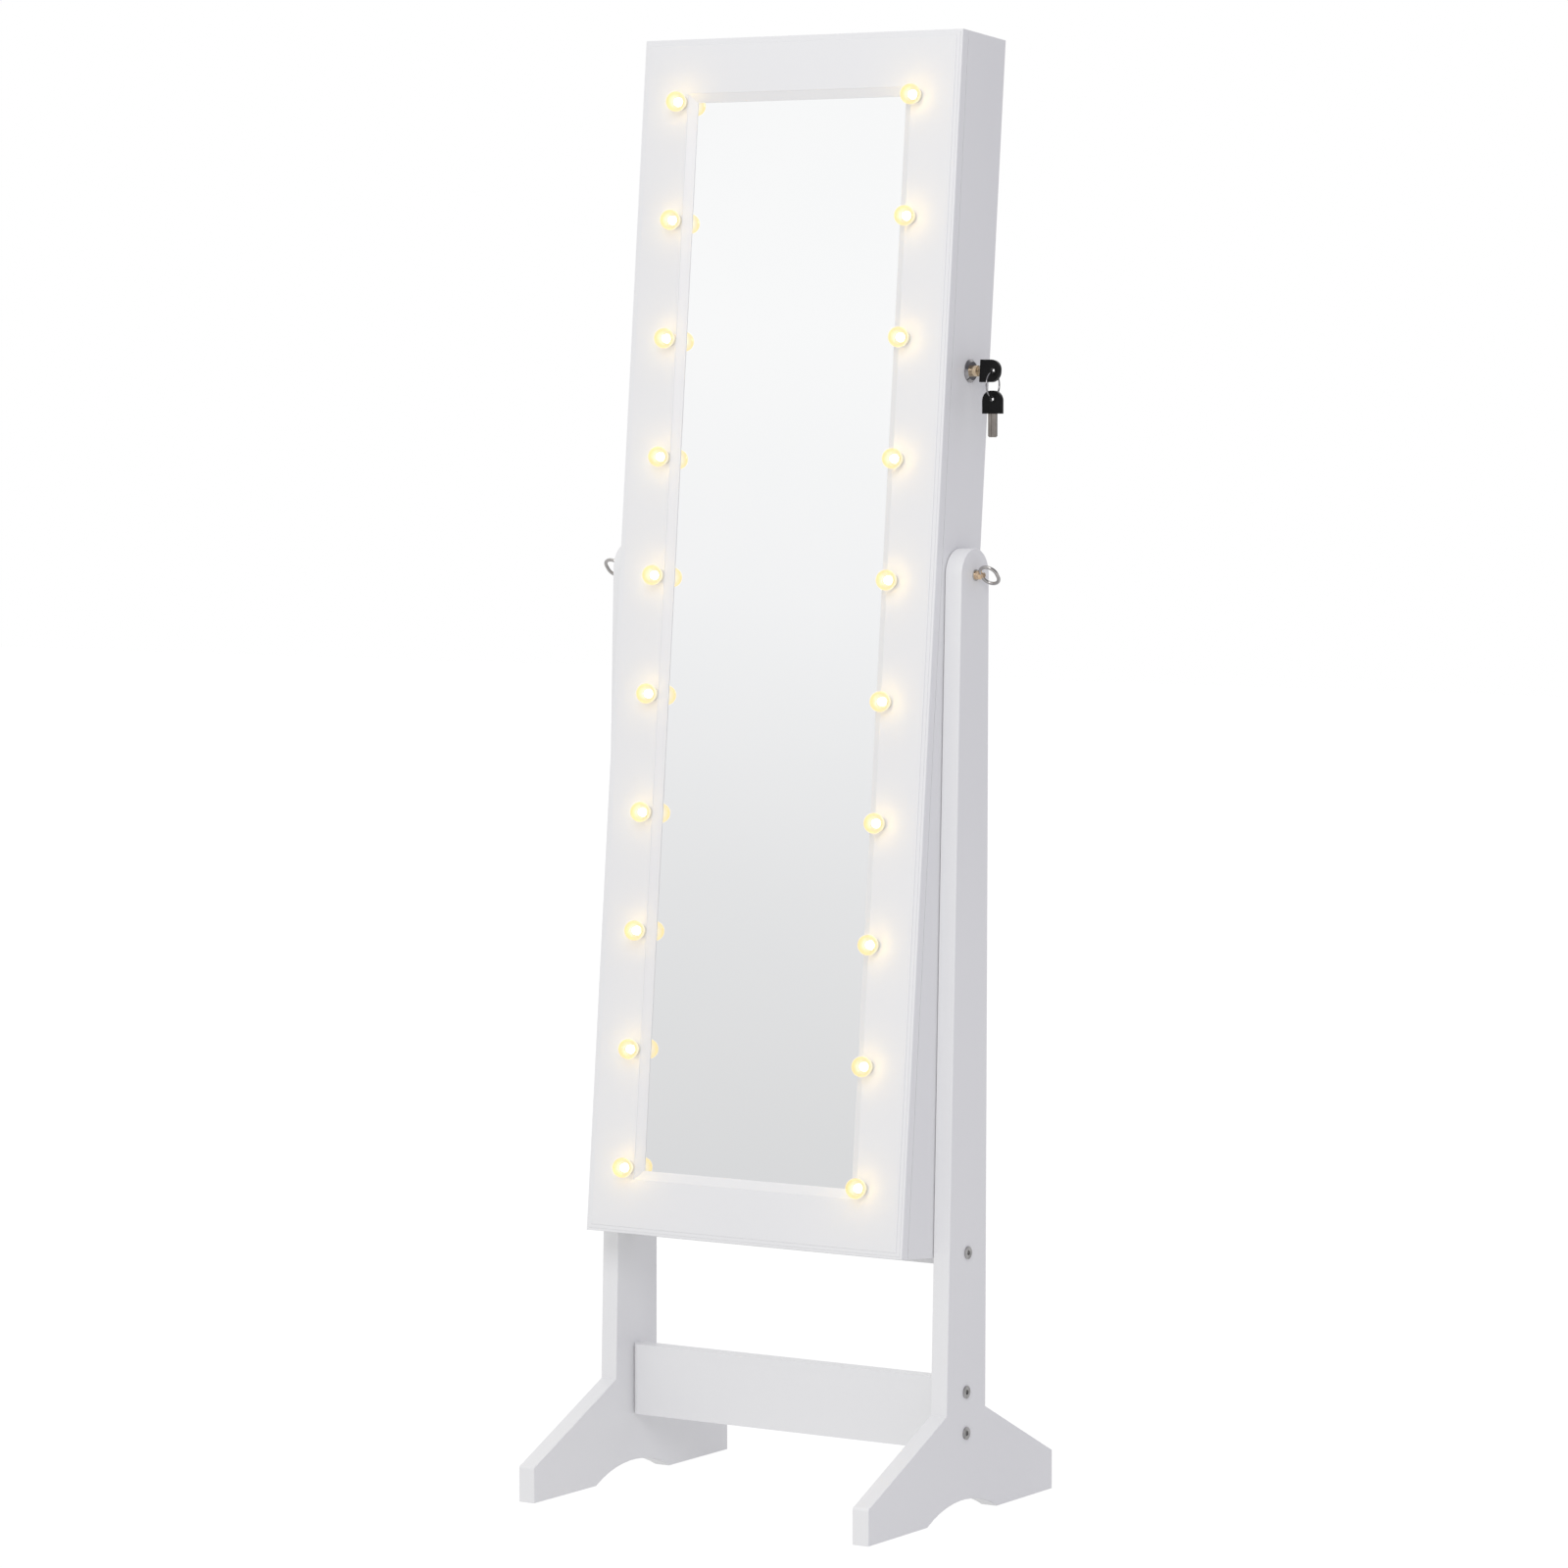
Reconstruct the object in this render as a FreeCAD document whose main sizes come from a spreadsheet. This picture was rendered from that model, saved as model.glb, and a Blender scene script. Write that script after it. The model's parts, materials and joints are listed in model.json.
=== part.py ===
"""Free-standing jewelry cabinet: a mirror door with lamps on a case that tilts between two legs.

Frame: +X to the right seen from the front, +Y to the back, +Z up, origin on the floor in the middle of the
feet. The case, the door and the lock are drawn in the case's own frame, whose origin lies on the pivot axis,
with x to the right, v to the back and w up the leaning case.
"""

import FreeCAD, Part
import os
import re

import Sketcher

# Driving dimensions, millimetres and degrees

SIZES = {
    # Stand
    "stand_width": 412,
    "leg_thickness": 18.6,
    "foot_length": 350,
    "foot_end_height": 37.5,
    "foot_rear_height": 39.4,
    "foot_corner_radius": 4,
    "foot_slope_height": 104,
    "post_front": 30.6,
    "post_back": 43.3,
    "post_top_radius": 26,
    "arch_span": 132,
    "arch_rise": 16.5,
    "leg_edge_round": 0.8,
    "pivot_height": 928,
    "pivot_setback": 20,
    "lean": 5.28,
    "rail_height": 72,
    "rail_thickness": 18,
    "rail_clearance": 64.8,
    "rail_lead": 2.8,
    "rail_end_flat": 10,
    "stop_height": 25,
    "stop_thickness": 18,
    "stop_overlap": 17.2,
    "stop_gap": 0.3,
    # Connecting bolts and barrel nuts
    "bolt_head_radius": 6.3,
    "bolt_head_height": 1.2,
    "bolt_radius": 3,
    "bolt_length": 50,
    "bolt_socket_radius": 2.4,
    "bolt_socket_depth": 1.5,
    "bolt_low": 17.6,
    "bolt_high": 13.5,
    "nut_radius": 5,
    "nut_length": 13,
    "nut_setback": 24,
    # Pivot bolts
    "pivot_radius": 3,
    "running_clearance": 0.05,
    "collar_radius": 4.3,
    "collar_length": 9,
    "loop_length": 21.3,
    "loop_width": 25.7,
    "loop_wire_radius": 1.75,
    "loop_root": 4.75,
    "loop_turn": 43,
    "washer_radius": 5.6,
    "washer_thickness": 1.2,
    "spacer_radius": 10,
    "spacer_thickness": 0.6,
    "spacer_gap": 0.1,
    "insert_radius": 5,
    "insert_wall": 1,
    # Case
    "under_gap": 120,
    "cab_top": 530.3,
    "cab_front": 43.6,
    "cab_depth": 83,
    "panel_thickness": 12,
    "back_thickness": 3,
    "back_rabbet": 6,
    "lining_thickness": 1.5,
    # Fittings in the case
    "shelf_thickness": 9,
    "shelf_gap": 4.5,
    "ring_bay": 110,
    "earring_bay": 160,
    "bangle_bay": 130,
    "open_bay": 120,
    "bottom_bay": 162.7,
    "fence_height": 35,
    "fence_thickness": 4,
    "hook_rail_drop": 78,
    "hook_rail_height": 22,
    "hook_rail_thickness": 12,
    "hook_margin": 45.8,
    "hook_wire_radius": 1.5,
    "hook_reach": 9,
    "hook_bend_radius": 5,
    "hook_rise": 4,
    "cushion_base": 8,
    "cushion_gap": 0.3,
    "cushion_margin": 1.1,
    "roll_sink": 2.17,
    "earring_standoff": 19,
    "earring_thickness": 3,
    "earring_margin": 14,
    "slot_height": 3,
    "slot_bridge": 12,
    "cleat_size": 10,
    "rod_radius": 8,
    "rod_drop": 50,
    "rod_standoff": 27,
    "rod_clearance": 0.2,
    "socket_radius": 13,
    "socket_depth": 9,
    "socket_floor": 3,
    # Door
    "door_thickness": 12,
    "door_seam": 0.6,
    "frame_width": 63.9,
    "bead_step": 0.7,
    "outer_bead": 2.6,
    "outer_quirk": 6.2,
    "inner_bead": 8.5,
    "inner_bevel": 4.7,
    "mirror_thickness": 4,
    "mirror_backing": 1.8,
    "mirror_lap": 5,
    "mirror_play": 0.5,
    "door_back_thickness": 9,
    "door_back_gap": 2.5,
    # Lamps
    "lamp_inset": 15.2,
    "lamp_drop": 64.3,
    "lamp_foot": 66.3,
    "globe_seat": 0.65,
    "globe_radius": 10.2,
    "globe_wall": 1,
    "lamp_flange_radius": 6.8,
    "lamp_flange_height": 2.2,
    "lamp_neck_radius": 5,
    "lamp_neck_height": 4.5,
    "lamp_tail_radius": 4.4,
    "lamp_tail_reach": 4,
    "lamp_fit": 0.1,
    "chip_radius": 3.6,
    "chip_height": 7,
    "wire_radius": 1.2,
    "groove_width": 12,
    "groove_play": 0.6,
    "wire_drop": 48.3,
    # Battery box on the door's inner face
    "box_width": 70,
    "box_height": 58,
    "box_depth": 20,
    "box_wall": 2,
    "cell_radius": 7.2,
    "cell_length": 50,
    "cell_space": 1.1,
    "cell_gap": 0.3,
    "switch_length": 5,
    "switch_width": 3.6,
    "switch_reach": 3,
    "switch_travel": 3,
    "switch_play": 0.2,
    "switch_flange": 2,
    "switch_flange_thickness": 1.5,
    # Hinges
    "hinge_length": 48,
    "hinge_leaf_inset": 1.5,
    "hinge_leaf_thickness": 1.2,
    "hinge_radius": 2.5,
    "hinge_stand_off": 0.2,
    "hinge_pin_radius": 1.3,
    "hinge_pin_head": 0.8,
    "hinge_knuckle_gap": 0.3,
    "upper_hinge": 400,
    "middle_hinge": 60,
    "lower_hinge_rise": 110.4,
    # Lock and keys
    "lock_setback": 46.6,
    "lock_height": 200.3,
    "lock_flange_radius": 11.5,
    "lock_flange_thickness": 3.2,
    "lock_flange_bevel": 2.4,
    "lock_radius": 8,
    "lock_length": 22,
    "lock_fit": 0.15,
    "lock_nut_radius": 13,
    "lock_nut_thickness": 4,
    "core_radius": 5.5,
    "core_proud": 6.3,
    "core_tail": 6,
    "cam_gap": 0.3,
    "cam_tip_gap": 3.6,
    "cam_thickness": 2,
    "cam_root_radius": 6,
    "cam_tip_radius": 4.5,
    "cam_screw_radius": 5,
    "cam_screw_height": 1.6,
    "key_play": 0.2,
    "strike_thickness": 2,
    "strike_offset": 4,
    "strike_drop": 15,
    "strike_height": 18,
    "strike_lip": 12,
    "strike_foot": 14,
    "strike_play": 1.6,
    "key_reach": 12,
    "bow_length": 22.6,
    "bow_width": 22,
    "bow_thickness": 4,
    "bow_corner": 10,
    "bow_hole_radius": 2.5,
    "bow_hole_inset": 8,
    "bow_rim_radius": 4.6,
    "bow_rim_height": 0.5,
    "blade_length": 23,
    "blade_width": 9.4,
    "blade_thickness": 2.2,
    "blade_tip_cut": 1.2,
    "blade_groove_width": 2.4,
    "blade_groove_depth": 0.5,
    "ring_radius": 12.4,
    "ring_wire_radius": 0.8,
    "ring_seat": 1.2,
    # One overrun serves every through cut
    "overrun": 2,
}

LAMP_ROWS = 10
HOOKS = 9
ROLLS = 7
SLOT_ROWS = 7
SLOT_COLUMNS = 3
COLLAR_NECK_SHARE = 0.6
COLLAR_TAPER_SHARE = 0.7
SWITCH_DEPTH_SHARE = 0.72
KNUCKLE_ROOT_SHARE = 0.7

doc = FreeCAD.newDocument("jewelry_cabinet")
sheet = doc.addObject("Spreadsheet::Sheet", "Sizes")
for row, (alias, value) in enumerate(SIZES.items(), start=1):
    sheet.set(f"A{row}", alias)
    sheet.set(f"B{row}", str(value))
    sheet.setAlias(f"B{row}", alias)
doc.recompute()

WORD = re.compile(r"[a-z][a-z_]*")


def on_sheet(text):
    """The expression with each named size pointed at its cell."""
    return WORD.sub(lambda word: "Sizes." + word[0] if word[0] in SIZES else word[0], text)


def size(text):
    """What an expression measures with the sheet as it stands."""
    return float(sheet.evalExpression(on_sheet(text)))


def bind(thing, **expressions):
    """Bind properties to expressions; a double underscore stands for a dot in a property's path."""
    for path, text in expressions.items():
        thing.setExpression(path.replace("__", "."), on_sheet(text))


# Places in the case's frame

SIDE = "(stand_width / 2 - leg_thickness - spacer_thickness - spacer_gap)"
INNER = f"({SIDE} - panel_thickness)"
BACK = "(cab_depth - cab_front)"
CASE_FOOT = "(rail_clearance + rail_height + under_gap)"
BOTTOM = f"(({CASE_FOOT} + {BACK} * sin(lean) - pivot_height) / cos(lean))"
INNER_TOP = "(cab_top - panel_thickness)"
INNER_BOTTOM = f"({BOTTOM} + panel_thickness)"
SEAM = "(door_thickness - cab_front)"
CASE_FRONT = f"({SEAM} + door_seam)"
LINING = f"({BACK} - back_thickness - lining_thickness)"
DOOR_REAR = f"({SEAM} + door_back_thickness)"
SHELF_FRONT = f"({DOOR_REAR} + shelf_gap)"
LOCK_V = "(lock_setback - cab_front)"
LAMP_X = f"({SIDE} - frame_width + lamp_inset)"
LAMP_TOP = "(cab_top - lamp_drop)"
LAMP_LOW = f"({BOTTOM} + lamp_foot)"
LAMP_STEP = f"(({LAMP_TOP} - {LAMP_LOW}) / {LAMP_ROWS - 1})"
WIRE_TOP = "(cab_top - wire_drop)"
HINGE_X = f"(-{SIDE} - hinge_radius - hinge_stand_off)"
HINGE_V = f"({SEAM} + door_seam / 2)"
BOW_HOLE_X = f"({SIDE} + key_reach + bow_length - bow_hole_inset)"
RING_W = "(lock_height - ring_seat - ring_radius)"


def turned_back(v, w):
    """World y and z of a point given by v and w in the leaning case."""
    return (f"pivot_setback + ({v}) * cos(lean) + ({w}) * sin(lean)",
            f"pivot_height - ({v}) * sin(lean) + ({w}) * cos(lean)")


def in_stand(thing):
    """Drawn straight in the stand's frame."""
    return thing


def at_pivot(thing):
    """Drawn about the pivot axis, upright."""
    bind(thing, Placement__Base__y="pivot_setback", Placement__Base__z="pivot_height")


def in_case(x="0", v="0", w="0"):
    """Drawn in the leaning case, about a point of it."""
    def seat(thing):
        y, z = turned_back(v, w)
        thing.Placement.Rotation = FreeCAD.Rotation(FreeCAD.Vector(-1, 0, 0), SIZES["lean"])
        bind(thing, Placement__Base__x=x, Placement__Base__y=y, Placement__Base__z=z,
             Placement__Rotation__Angle="lean")
    return seat


def hanging_key(thing):
    """Drawn about the hole of a key that hangs from the ring, tip down."""
    y, z = turned_back(LOCK_V, RING_W)
    thing.Placement.Rotation = FreeCAD.Rotation(FreeCAD.Vector(0, -1, 0), 90)
    bind(thing, Placement__Base__x=BOW_HOLE_X, Placement__Base__y=y,
         Placement__Base__z=f"{z} - ring_radius - ring_seat")


# Outlines for sketches: corners are (across, up), and a corner with a centre and a radius starts an arc

def rect(left, low, right, high):
    return [(left, low), (right, low), (right, high), (left, high)]


def disc(across, up, radius):
    return (across, up, radius)


def add_disc(sketch, outline):
    across, up, radius = outline
    centre = FreeCAD.Vector(size(across), size(up), 0)
    mark = sketch.addGeometry(Part.Circle(centre, FreeCAD.Vector(0, 0, 1), size(radius)), False)
    pin_point(sketch, mark, 3, across, up)
    tie(sketch, Sketcher.Constraint("Radius", mark, size(radius)), radius)


def tie(sketch, constraint, text):
    index = sketch.addConstraint(constraint)
    sketch.setExpression(f"Constraints[{index}]", on_sheet(text))


def pin_point(sketch, mark, end, across, up):
    tie(sketch, Sketcher.Constraint("DistanceX", -1, 1, mark, end, size(across)), across)
    tie(sketch, Sketcher.Constraint("DistanceY", -1, 1, mark, end, size(up)), up)


def add_outline(sketch, corners, closed=True):
    """Lines and arcs from corner to corner, each corner held to its expressions."""
    spots = [FreeCAD.Vector(size(corner[0]), size(corner[1]), 0) for corner in corners]
    steps = len(corners) if closed else len(corners) - 1
    ends = []
    for step in range(steps):
        here, there = spots[step], spots[(step + 1) % len(corners)]
        if len(corners[step]) == 2:
            mark = sketch.addGeometry(Part.LineSegment(here, there), False)
            ends.append((mark, 1, 2))
        else:
            ends.append(add_arc(sketch, here, there, *corners[step][2:]))
    for step, (mark, start, _) in enumerate(ends):
        if closed or step:
            before, _, last = ends[step - 1]
            sketch.addConstraint(Sketcher.Constraint("Coincident", before, last, mark, start))
        pin_point(sketch, mark, start, *corners[step][:2])
    if not closed:
        mark, _, last = ends[-1]
        pin_point(sketch, mark, last, *corners[-1][:2])


def add_arc(sketch, here, there, across, up, radius):
    centre = FreeCAD.Vector(size(across), size(up), 0)
    turn = (here - centre).cross(there - centre).z
    first, last = (here, there) if turn > 0 else (there, here)
    circle = Part.Circle(centre, FreeCAD.Vector(0, 0, 1), size(radius))
    arc = Part.ArcOfCircle(circle, circle.parameter(first), circle.parameter(last))
    mark = sketch.addGeometry(arc, False)
    tie(sketch, Sketcher.Constraint("Radius", mark, size(radius)), radius)
    return (mark, 1, 2) if turn > 0 else (mark, 2, 1)


class Piece:
    """One body of the document, built feature by feature along the axes of the frame that it is drawn in."""

    def __init__(self, label, seat=in_stand):
        self.body = doc.addObject("PartDesign::Body", label)
        self.body.Label = label
        seat(self.body)

    def origin(self, role):
        return next(item for item in self.body.Origin.OriginFeatures if item.Role == role)

    def sketch(self, plane, outlines, level="0", shift=("0", "0")):
        """A sketch across an axis: plane YZ lies across X, XZ across Y and XY across Z."""
        sketch = self.body.newObject("Sketcher::SketchObject", "outline")
        sketch.AttachmentSupport = [(self.origin(plane + "_Plane"), "")]
        sketch.MapMode = "FlatFace"
        depth = f"-({level})" if plane == "XZ" else level
        bind(sketch, AttachmentOffset__Base__x=shift[0], AttachmentOffset__Base__y=shift[1],
             AttachmentOffset__Base__z=depth)
        for outline in outlines:
            if isinstance(outline, tuple):
                add_disc(sketch, outline)
            else:
                add_outline(sketch, outline)
        return sketch

    def pad(self, plane, outlines, start, end):
        feature = self.body.newObject("PartDesign::Pad", "pad")
        return self.extrude(feature, plane, outlines, start, end, plane == "XZ")

    def cut(self, plane, outlines, start, end):
        doc.recompute()
        before = self.body.Shape.Volume
        feature = self.body.newObject("PartDesign::Pocket", "cut")
        self.extrude(feature, plane, outlines, start, end, plane != "XZ")
        doc.recompute()
        if not self.body.Shape.Volume < before:
            raise RuntimeError(f"{self.body.Label}: a cut took nothing away")
        return feature

    def extrude(self, feature, plane, outlines, start, end, backwards):
        feature.Profile = self.sketch(plane, outlines, start)
        feature.Reversed = backwards
        bind(feature, Length=f"({end}) - ({start})")
        return feature

    def turn(self, plane, outline, axis, level="0", shift=("0", "0")):
        """A form turned about a sketch axis, H_Axis or V_Axis."""
        feature = self.body.newObject("PartDesign::Revolution", "turning")
        sketch = self.sketch(plane, [outline], level, shift)
        feature.Profile = sketch
        feature.ReferenceAxis = (sketch, [axis])
        return feature

    def pipe(self, plane, path, profile_plane, profile, level="0", closed=False):
        feature = self.body.newObject("PartDesign::AdditivePipe", "pipe")
        feature.Profile = self.sketch(profile_plane, [profile], level)
        spine = self.sketch(plane, [])
        add_outline(spine, path, closed)
        feature.Spine = (spine, [])
        return feature

    def repeat(self, originals, rows=None, mirrored=None):
        """Copies in a row along an axis, in a mirror plane, or both: rows is (axis, spacing, count)."""
        doc.recompute()
        feature = self.body.newObject("PartDesign::MultiTransform", "copies")
        feature.Originals = originals
        steps = []
        if rows:
            axis, spacing, count = rows
            row = self.body.newObject("PartDesign::LinearPattern", "row")
            row.Direction = (self.origin(axis + "_Axis"), [""])
            row.Occurrences = count
            bind(row, Length=f"({spacing}) * {count - 1}")
            steps.append(row)
        if mirrored:
            opposite = self.body.newObject("PartDesign::Mirrored", "opposite")
            opposite.MirrorPlane = (self.origin(mirrored + "_Plane"), [""])
            steps.append(opposite)
        feature.Transformations = steps
        self.body.Tip = feature
        doc.recompute()

    def round_edges(self, chosen, radius):
        """Round the edges that a test picks out."""
        doc.recompute()
        base = self.body.Tip
        names = [f"Edge{i}" for i, edge in enumerate(base.Shape.Edges, start=1) if chosen(edge)]
        feature = self.body.newObject("PartDesign::Fillet", "rounding")
        feature.Base = (base, names)
        bind(feature, Radius=radius)


def block(label, seat, left, front, low, right, rear, high):
    """A plain board between two corners."""
    piece = Piece(label, seat)
    piece.pad("XY", [rect(left, front, right, rear)], low, high)
    return piece


# Stand

LEG_OUTER = "stand_width / 2"
LEG_INNER = "(stand_width / 2 - leg_thickness)"
FOOT = "foot_length / 2"
RAIL_MIDDLE = "(rail_thickness / 2 - rail_lead)"
STOP_TOP = f"({CASE_FOOT} + stop_overlap)"
STOP_REST = f"(({STOP_TOP} - pivot_height + {BACK} * sin(lean)) / cos(lean))"
STOP_FRONT = f"(pivot_setback + {BACK} * cos(lean) + {STOP_REST} * sin(lean) + stop_gap)"
STOP_MIDDLE = f"({STOP_FRONT} + stop_thickness / 2)"
BOLT_PLACES = [
    (RAIL_MIDDLE, "rail_clearance + bolt_low"),
    (RAIL_MIDDLE, "rail_clearance + rail_height - bolt_high"),
    (STOP_MIDDLE, f"{STOP_TOP} - stop_height / 2"),
]


def make_leg(label, inner, outer):
    """Foot, post and rounded top in one board, with an arch under the foot."""
    leg = Piece(label)
    corner = f"{FOOT} - foot_corner_radius"
    shoulder = "foot_end_height - foot_corner_radius"
    outline = [
        (f"-{FOOT}", "0"),
        (FOOT, "0"),
        (FOOT, "foot_rear_height"),
        ("post_back", "foot_slope_height"),
        ("pivot_setback + post_top_radius", "pivot_height"),
        ("pivot_setback - post_top_radius", "pivot_height"),
        ("-post_front", "foot_slope_height"),
        (f"-({corner})", "foot_end_height", f"-({corner})", shoulder, "foot_corner_radius"),
        (f"-{FOOT}", shoulder),
    ]
    leg.pad("YZ", [outline], inner, outer)
    leg.pad("YZ", [disc("pivot_setback", "pivot_height", "post_top_radius")], inner, outer)
    arch_radius = "((arch_span / 2) ^ 2 + arch_rise ^ 2) / (2 * arch_rise)"
    leg.cut("YZ", [disc("0", f"arch_rise - {arch_radius}", arch_radius)], inner, outer)
    faces = (size(inner), size(outer))

    def on_a_broad_face(edge):
        return any(abs(edge.BoundBox.XMin - x) + abs(edge.BoundBox.XMax - x) < size("leg_edge_round") / 2
                   for x in faces)

    leg.round_edges(on_a_broad_face, "leg_edge_round")
    holes = [disc(y, z, "bolt_radius + running_clearance") for y, z in BOLT_PLACES]
    holes.append(disc("pivot_setback", "pivot_height", "pivot_radius + running_clearance"))
    leg.cut("YZ", holes, inner, outer)
    return leg


make_leg("left_leg", f"-{LEG_OUTER}", f"-{LEG_INNER}")
make_leg("right_leg", LEG_INNER, LEG_OUTER)


def make_crossbar(label, front, rear, low, high, bolts, end_round=None):
    """A bar between the legs, bored at each end for its bolts and across for their barrel nuts."""
    bar = Piece(label)
    if end_round:
        inset = f"{LEG_INNER} - {end_round}"
        elbow = f"{front} + {end_round}"
        outline = [
            (f"-({inset})", front),
            (inset, front, inset, elbow, end_round),
            (LEG_INNER, elbow),
            (LEG_INNER, rear),
            (f"-{LEG_INNER}", rear),
            (f"-{LEG_INNER}", elbow, f"-({inset})", elbow, end_round),
        ]
    else:
        outline = rect(f"-{LEG_INNER}", front, LEG_INNER, rear)
    bar.pad("XY", [outline], low, high)
    holes = [disc(y, z, "bolt_radius + running_clearance") for y, z in bolts]
    bar.cut("YZ", holes, f"{LEG_OUTER} - bolt_length", LEG_INNER)
    bar.cut("YZ", holes, f"-{LEG_INNER}", f"bolt_length - {LEG_OUTER}")
    seats = [disc(f"{sign}({LEG_INNER} - nut_setback)", z, "nut_radius + running_clearance")
             for sign in ("", "-") for _, z in bolts]
    middle = bolts[0][0]
    bar.cut("XZ", seats, f"{middle} - nut_length / 2", rear)


make_crossbar("front_rail", "-rail_lead", "(rail_thickness - rail_lead)", "rail_clearance",
              "rail_clearance + rail_height", BOLT_PLACES[:2], "(rail_thickness - rail_end_flat)")
make_crossbar("stop_bar", STOP_FRONT, f"({STOP_FRONT} + stop_thickness)", f"{STOP_TOP} - stop_height",
              STOP_TOP, BOLT_PLACES[2:])


def make_stand_bolts():
    bolts = Piece("stand_bolts")
    head_face = f"{LEG_OUTER} + bolt_head_height"
    parts = [
        bolts.pad("YZ", [disc(y, z, "bolt_radius") for y, z in BOLT_PLACES],
                  f"{LEG_OUTER} - bolt_length", LEG_OUTER),
        bolts.pad("YZ", [disc(y, z, "bolt_head_radius") for y, z in BOLT_PLACES], LEG_OUTER, head_face),
        bolts.cut("YZ", [disc(y, z, "bolt_socket_radius") for y, z in BOLT_PLACES],
                  f"{head_face} - bolt_socket_depth", head_face),
    ]
    bolts.repeat(parts, mirrored="YZ")


def make_barrel_nuts():
    """Cross dowels, bored for the bolts that pass through them."""
    nuts = Piece("barrel_nuts")
    place = f"{LEG_INNER} - nut_setback"
    parts = []
    for middle, height in BOLT_PLACES:
        parts.append(nuts.pad("XZ", [disc(place, height, "nut_radius")],
                              f"{middle} - nut_length / 2", f"{middle} + nut_length / 2"))
    parts.append(nuts.cut("YZ", [disc(y, z, "bolt_radius + running_clearance") for y, z in BOLT_PLACES],
                          f"{place} - nut_radius", f"{place} + nut_radius"))
    nuts.repeat(parts, mirrored="YZ")


make_stand_bolts()
make_barrel_nuts()

# Pivots

COLLAR_START = f"({LEG_OUTER} + washer_thickness)"
COLLAR_END = f"({COLLAR_START} + collar_length)"
PIVOT_TIP = f"({INNER} + insert_wall)"


def make_pivot_bolt(label, sign):
    """A bolt with a turned collar and an oval wire loop through its neck to turn it by."""
    bolt = Piece(label, at_pivot)
    bolt.body.Placement.Rotation = FreeCAD.Rotation(FreeCAD.Vector(1, 0, 0), SIZES["loop_turn"])
    bind(bolt.body, Placement__Rotation__Angle="loop_turn")

    def along(x):
        return f"{sign}({x})"

    neck = f"collar_radius * {COLLAR_NECK_SHARE}"
    profile = [
        (along(PIVOT_TIP), "0"),
        (along(PIVOT_TIP), "pivot_radius"),
        (along(COLLAR_START), "pivot_radius"),
        (along(COLLAR_START), "collar_radius"),
        (along(f"{COLLAR_START} + collar_length / 2"), "collar_radius"),
        (along(f"{COLLAR_START} + collar_length * {COLLAR_TAPER_SHARE}"), neck),
        (along(COLLAR_END), neck),
        (along(COLLAR_END), "0"),
    ]
    bolt.turn("XZ", profile, "H_Axis")
    bend = "(loop_length / 2 - loop_wire_radius)"
    crest = "(loop_width / 2 - loop_wire_radius)"
    arm = f"({crest} - {bend})"
    near = f"({COLLAR_END} + loop_wire_radius - loop_root)"
    middle = f"({near} + {bend})"
    far = f"({middle} + {bend})"
    path = [
        (along(middle), crest, along(middle), arm, bend),
        (along(near), arm),
        (along(near), f"-{arm}", along(middle), f"-{arm}", bend),
        (along(middle), f"-{crest}", along(middle), f"-{arm}", bend),
        (along(far), f"-{arm}"),
        (along(far), arm, along(middle), arm, bend),
    ]
    bolt.pipe("XZ", path, "YZ", disc("0", crest, "loop_wire_radius"), along(middle), closed=True)


make_pivot_bolt("left_pivot_bolt", "-")
make_pivot_bolt("right_pivot_bolt", "")


def make_pivot_rings(label, seat, inner, outer, radius):
    """A pair of discs with the bolt's hole through them, one at each pivot."""
    rings = Piece(label, seat)
    hole = disc("0", "0", "pivot_radius + running_clearance")
    ring = rings.pad("YZ", [disc("0", "0", radius), hole], inner, outer)
    rings.repeat([ring], mirrored="YZ")


make_pivot_rings("pivot_washers", at_pivot, LEG_OUTER, COLLAR_START, "washer_radius")
make_pivot_rings("pivot_spacers", at_pivot, f"{SIDE} + spacer_gap", LEG_INNER, "spacer_radius")
make_pivot_rings("pivot_inserts", in_case(), PIVOT_TIP, SIDE, "insert_radius")

# Case


def make_side(label, sign):
    """A side board, rabbeted for the back, bored for the pivot insert."""
    side = Piece(label, in_case())
    inner, outer = f"{sign}{INNER}", f"{sign}({SIDE})"
    rabbet = f"{sign}({INNER} + back_rabbet)"
    outline = [(inner, CASE_FRONT), (outer, CASE_FRONT), (outer, BACK), (rabbet, BACK),
               (rabbet, f"{BACK} - back_thickness"), (inner, f"{BACK} - back_thickness")]
    side.pad("XY", [outline], BOTTOM, "cab_top")
    ends = (PIVOT_TIP, SIDE) if not sign else (f"-{SIDE}", f"-{PIVOT_TIP}")
    side.cut("YZ", [disc("0", "0", "insert_radius")], *ends)
    return side


left_side = make_side("left_side", "-")
right_side = make_side("right_side", "")
right_side.cut("YZ", [disc(LOCK_V, "lock_height", "lock_radius + lock_fit")], INNER, SIDE)


def make_end(label, inside, outside, rabbet):
    """Top or bottom board between the sides, rabbeted for the back."""
    end = Piece(label, in_case())
    step = f"{BACK} - back_thickness"
    outline = [(CASE_FRONT, inside), (step, inside), (step, rabbet), (BACK, rabbet), (BACK, outside),
               (CASE_FRONT, outside)]
    end.pad("YZ", [outline], f"-{INNER}", INNER)


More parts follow.
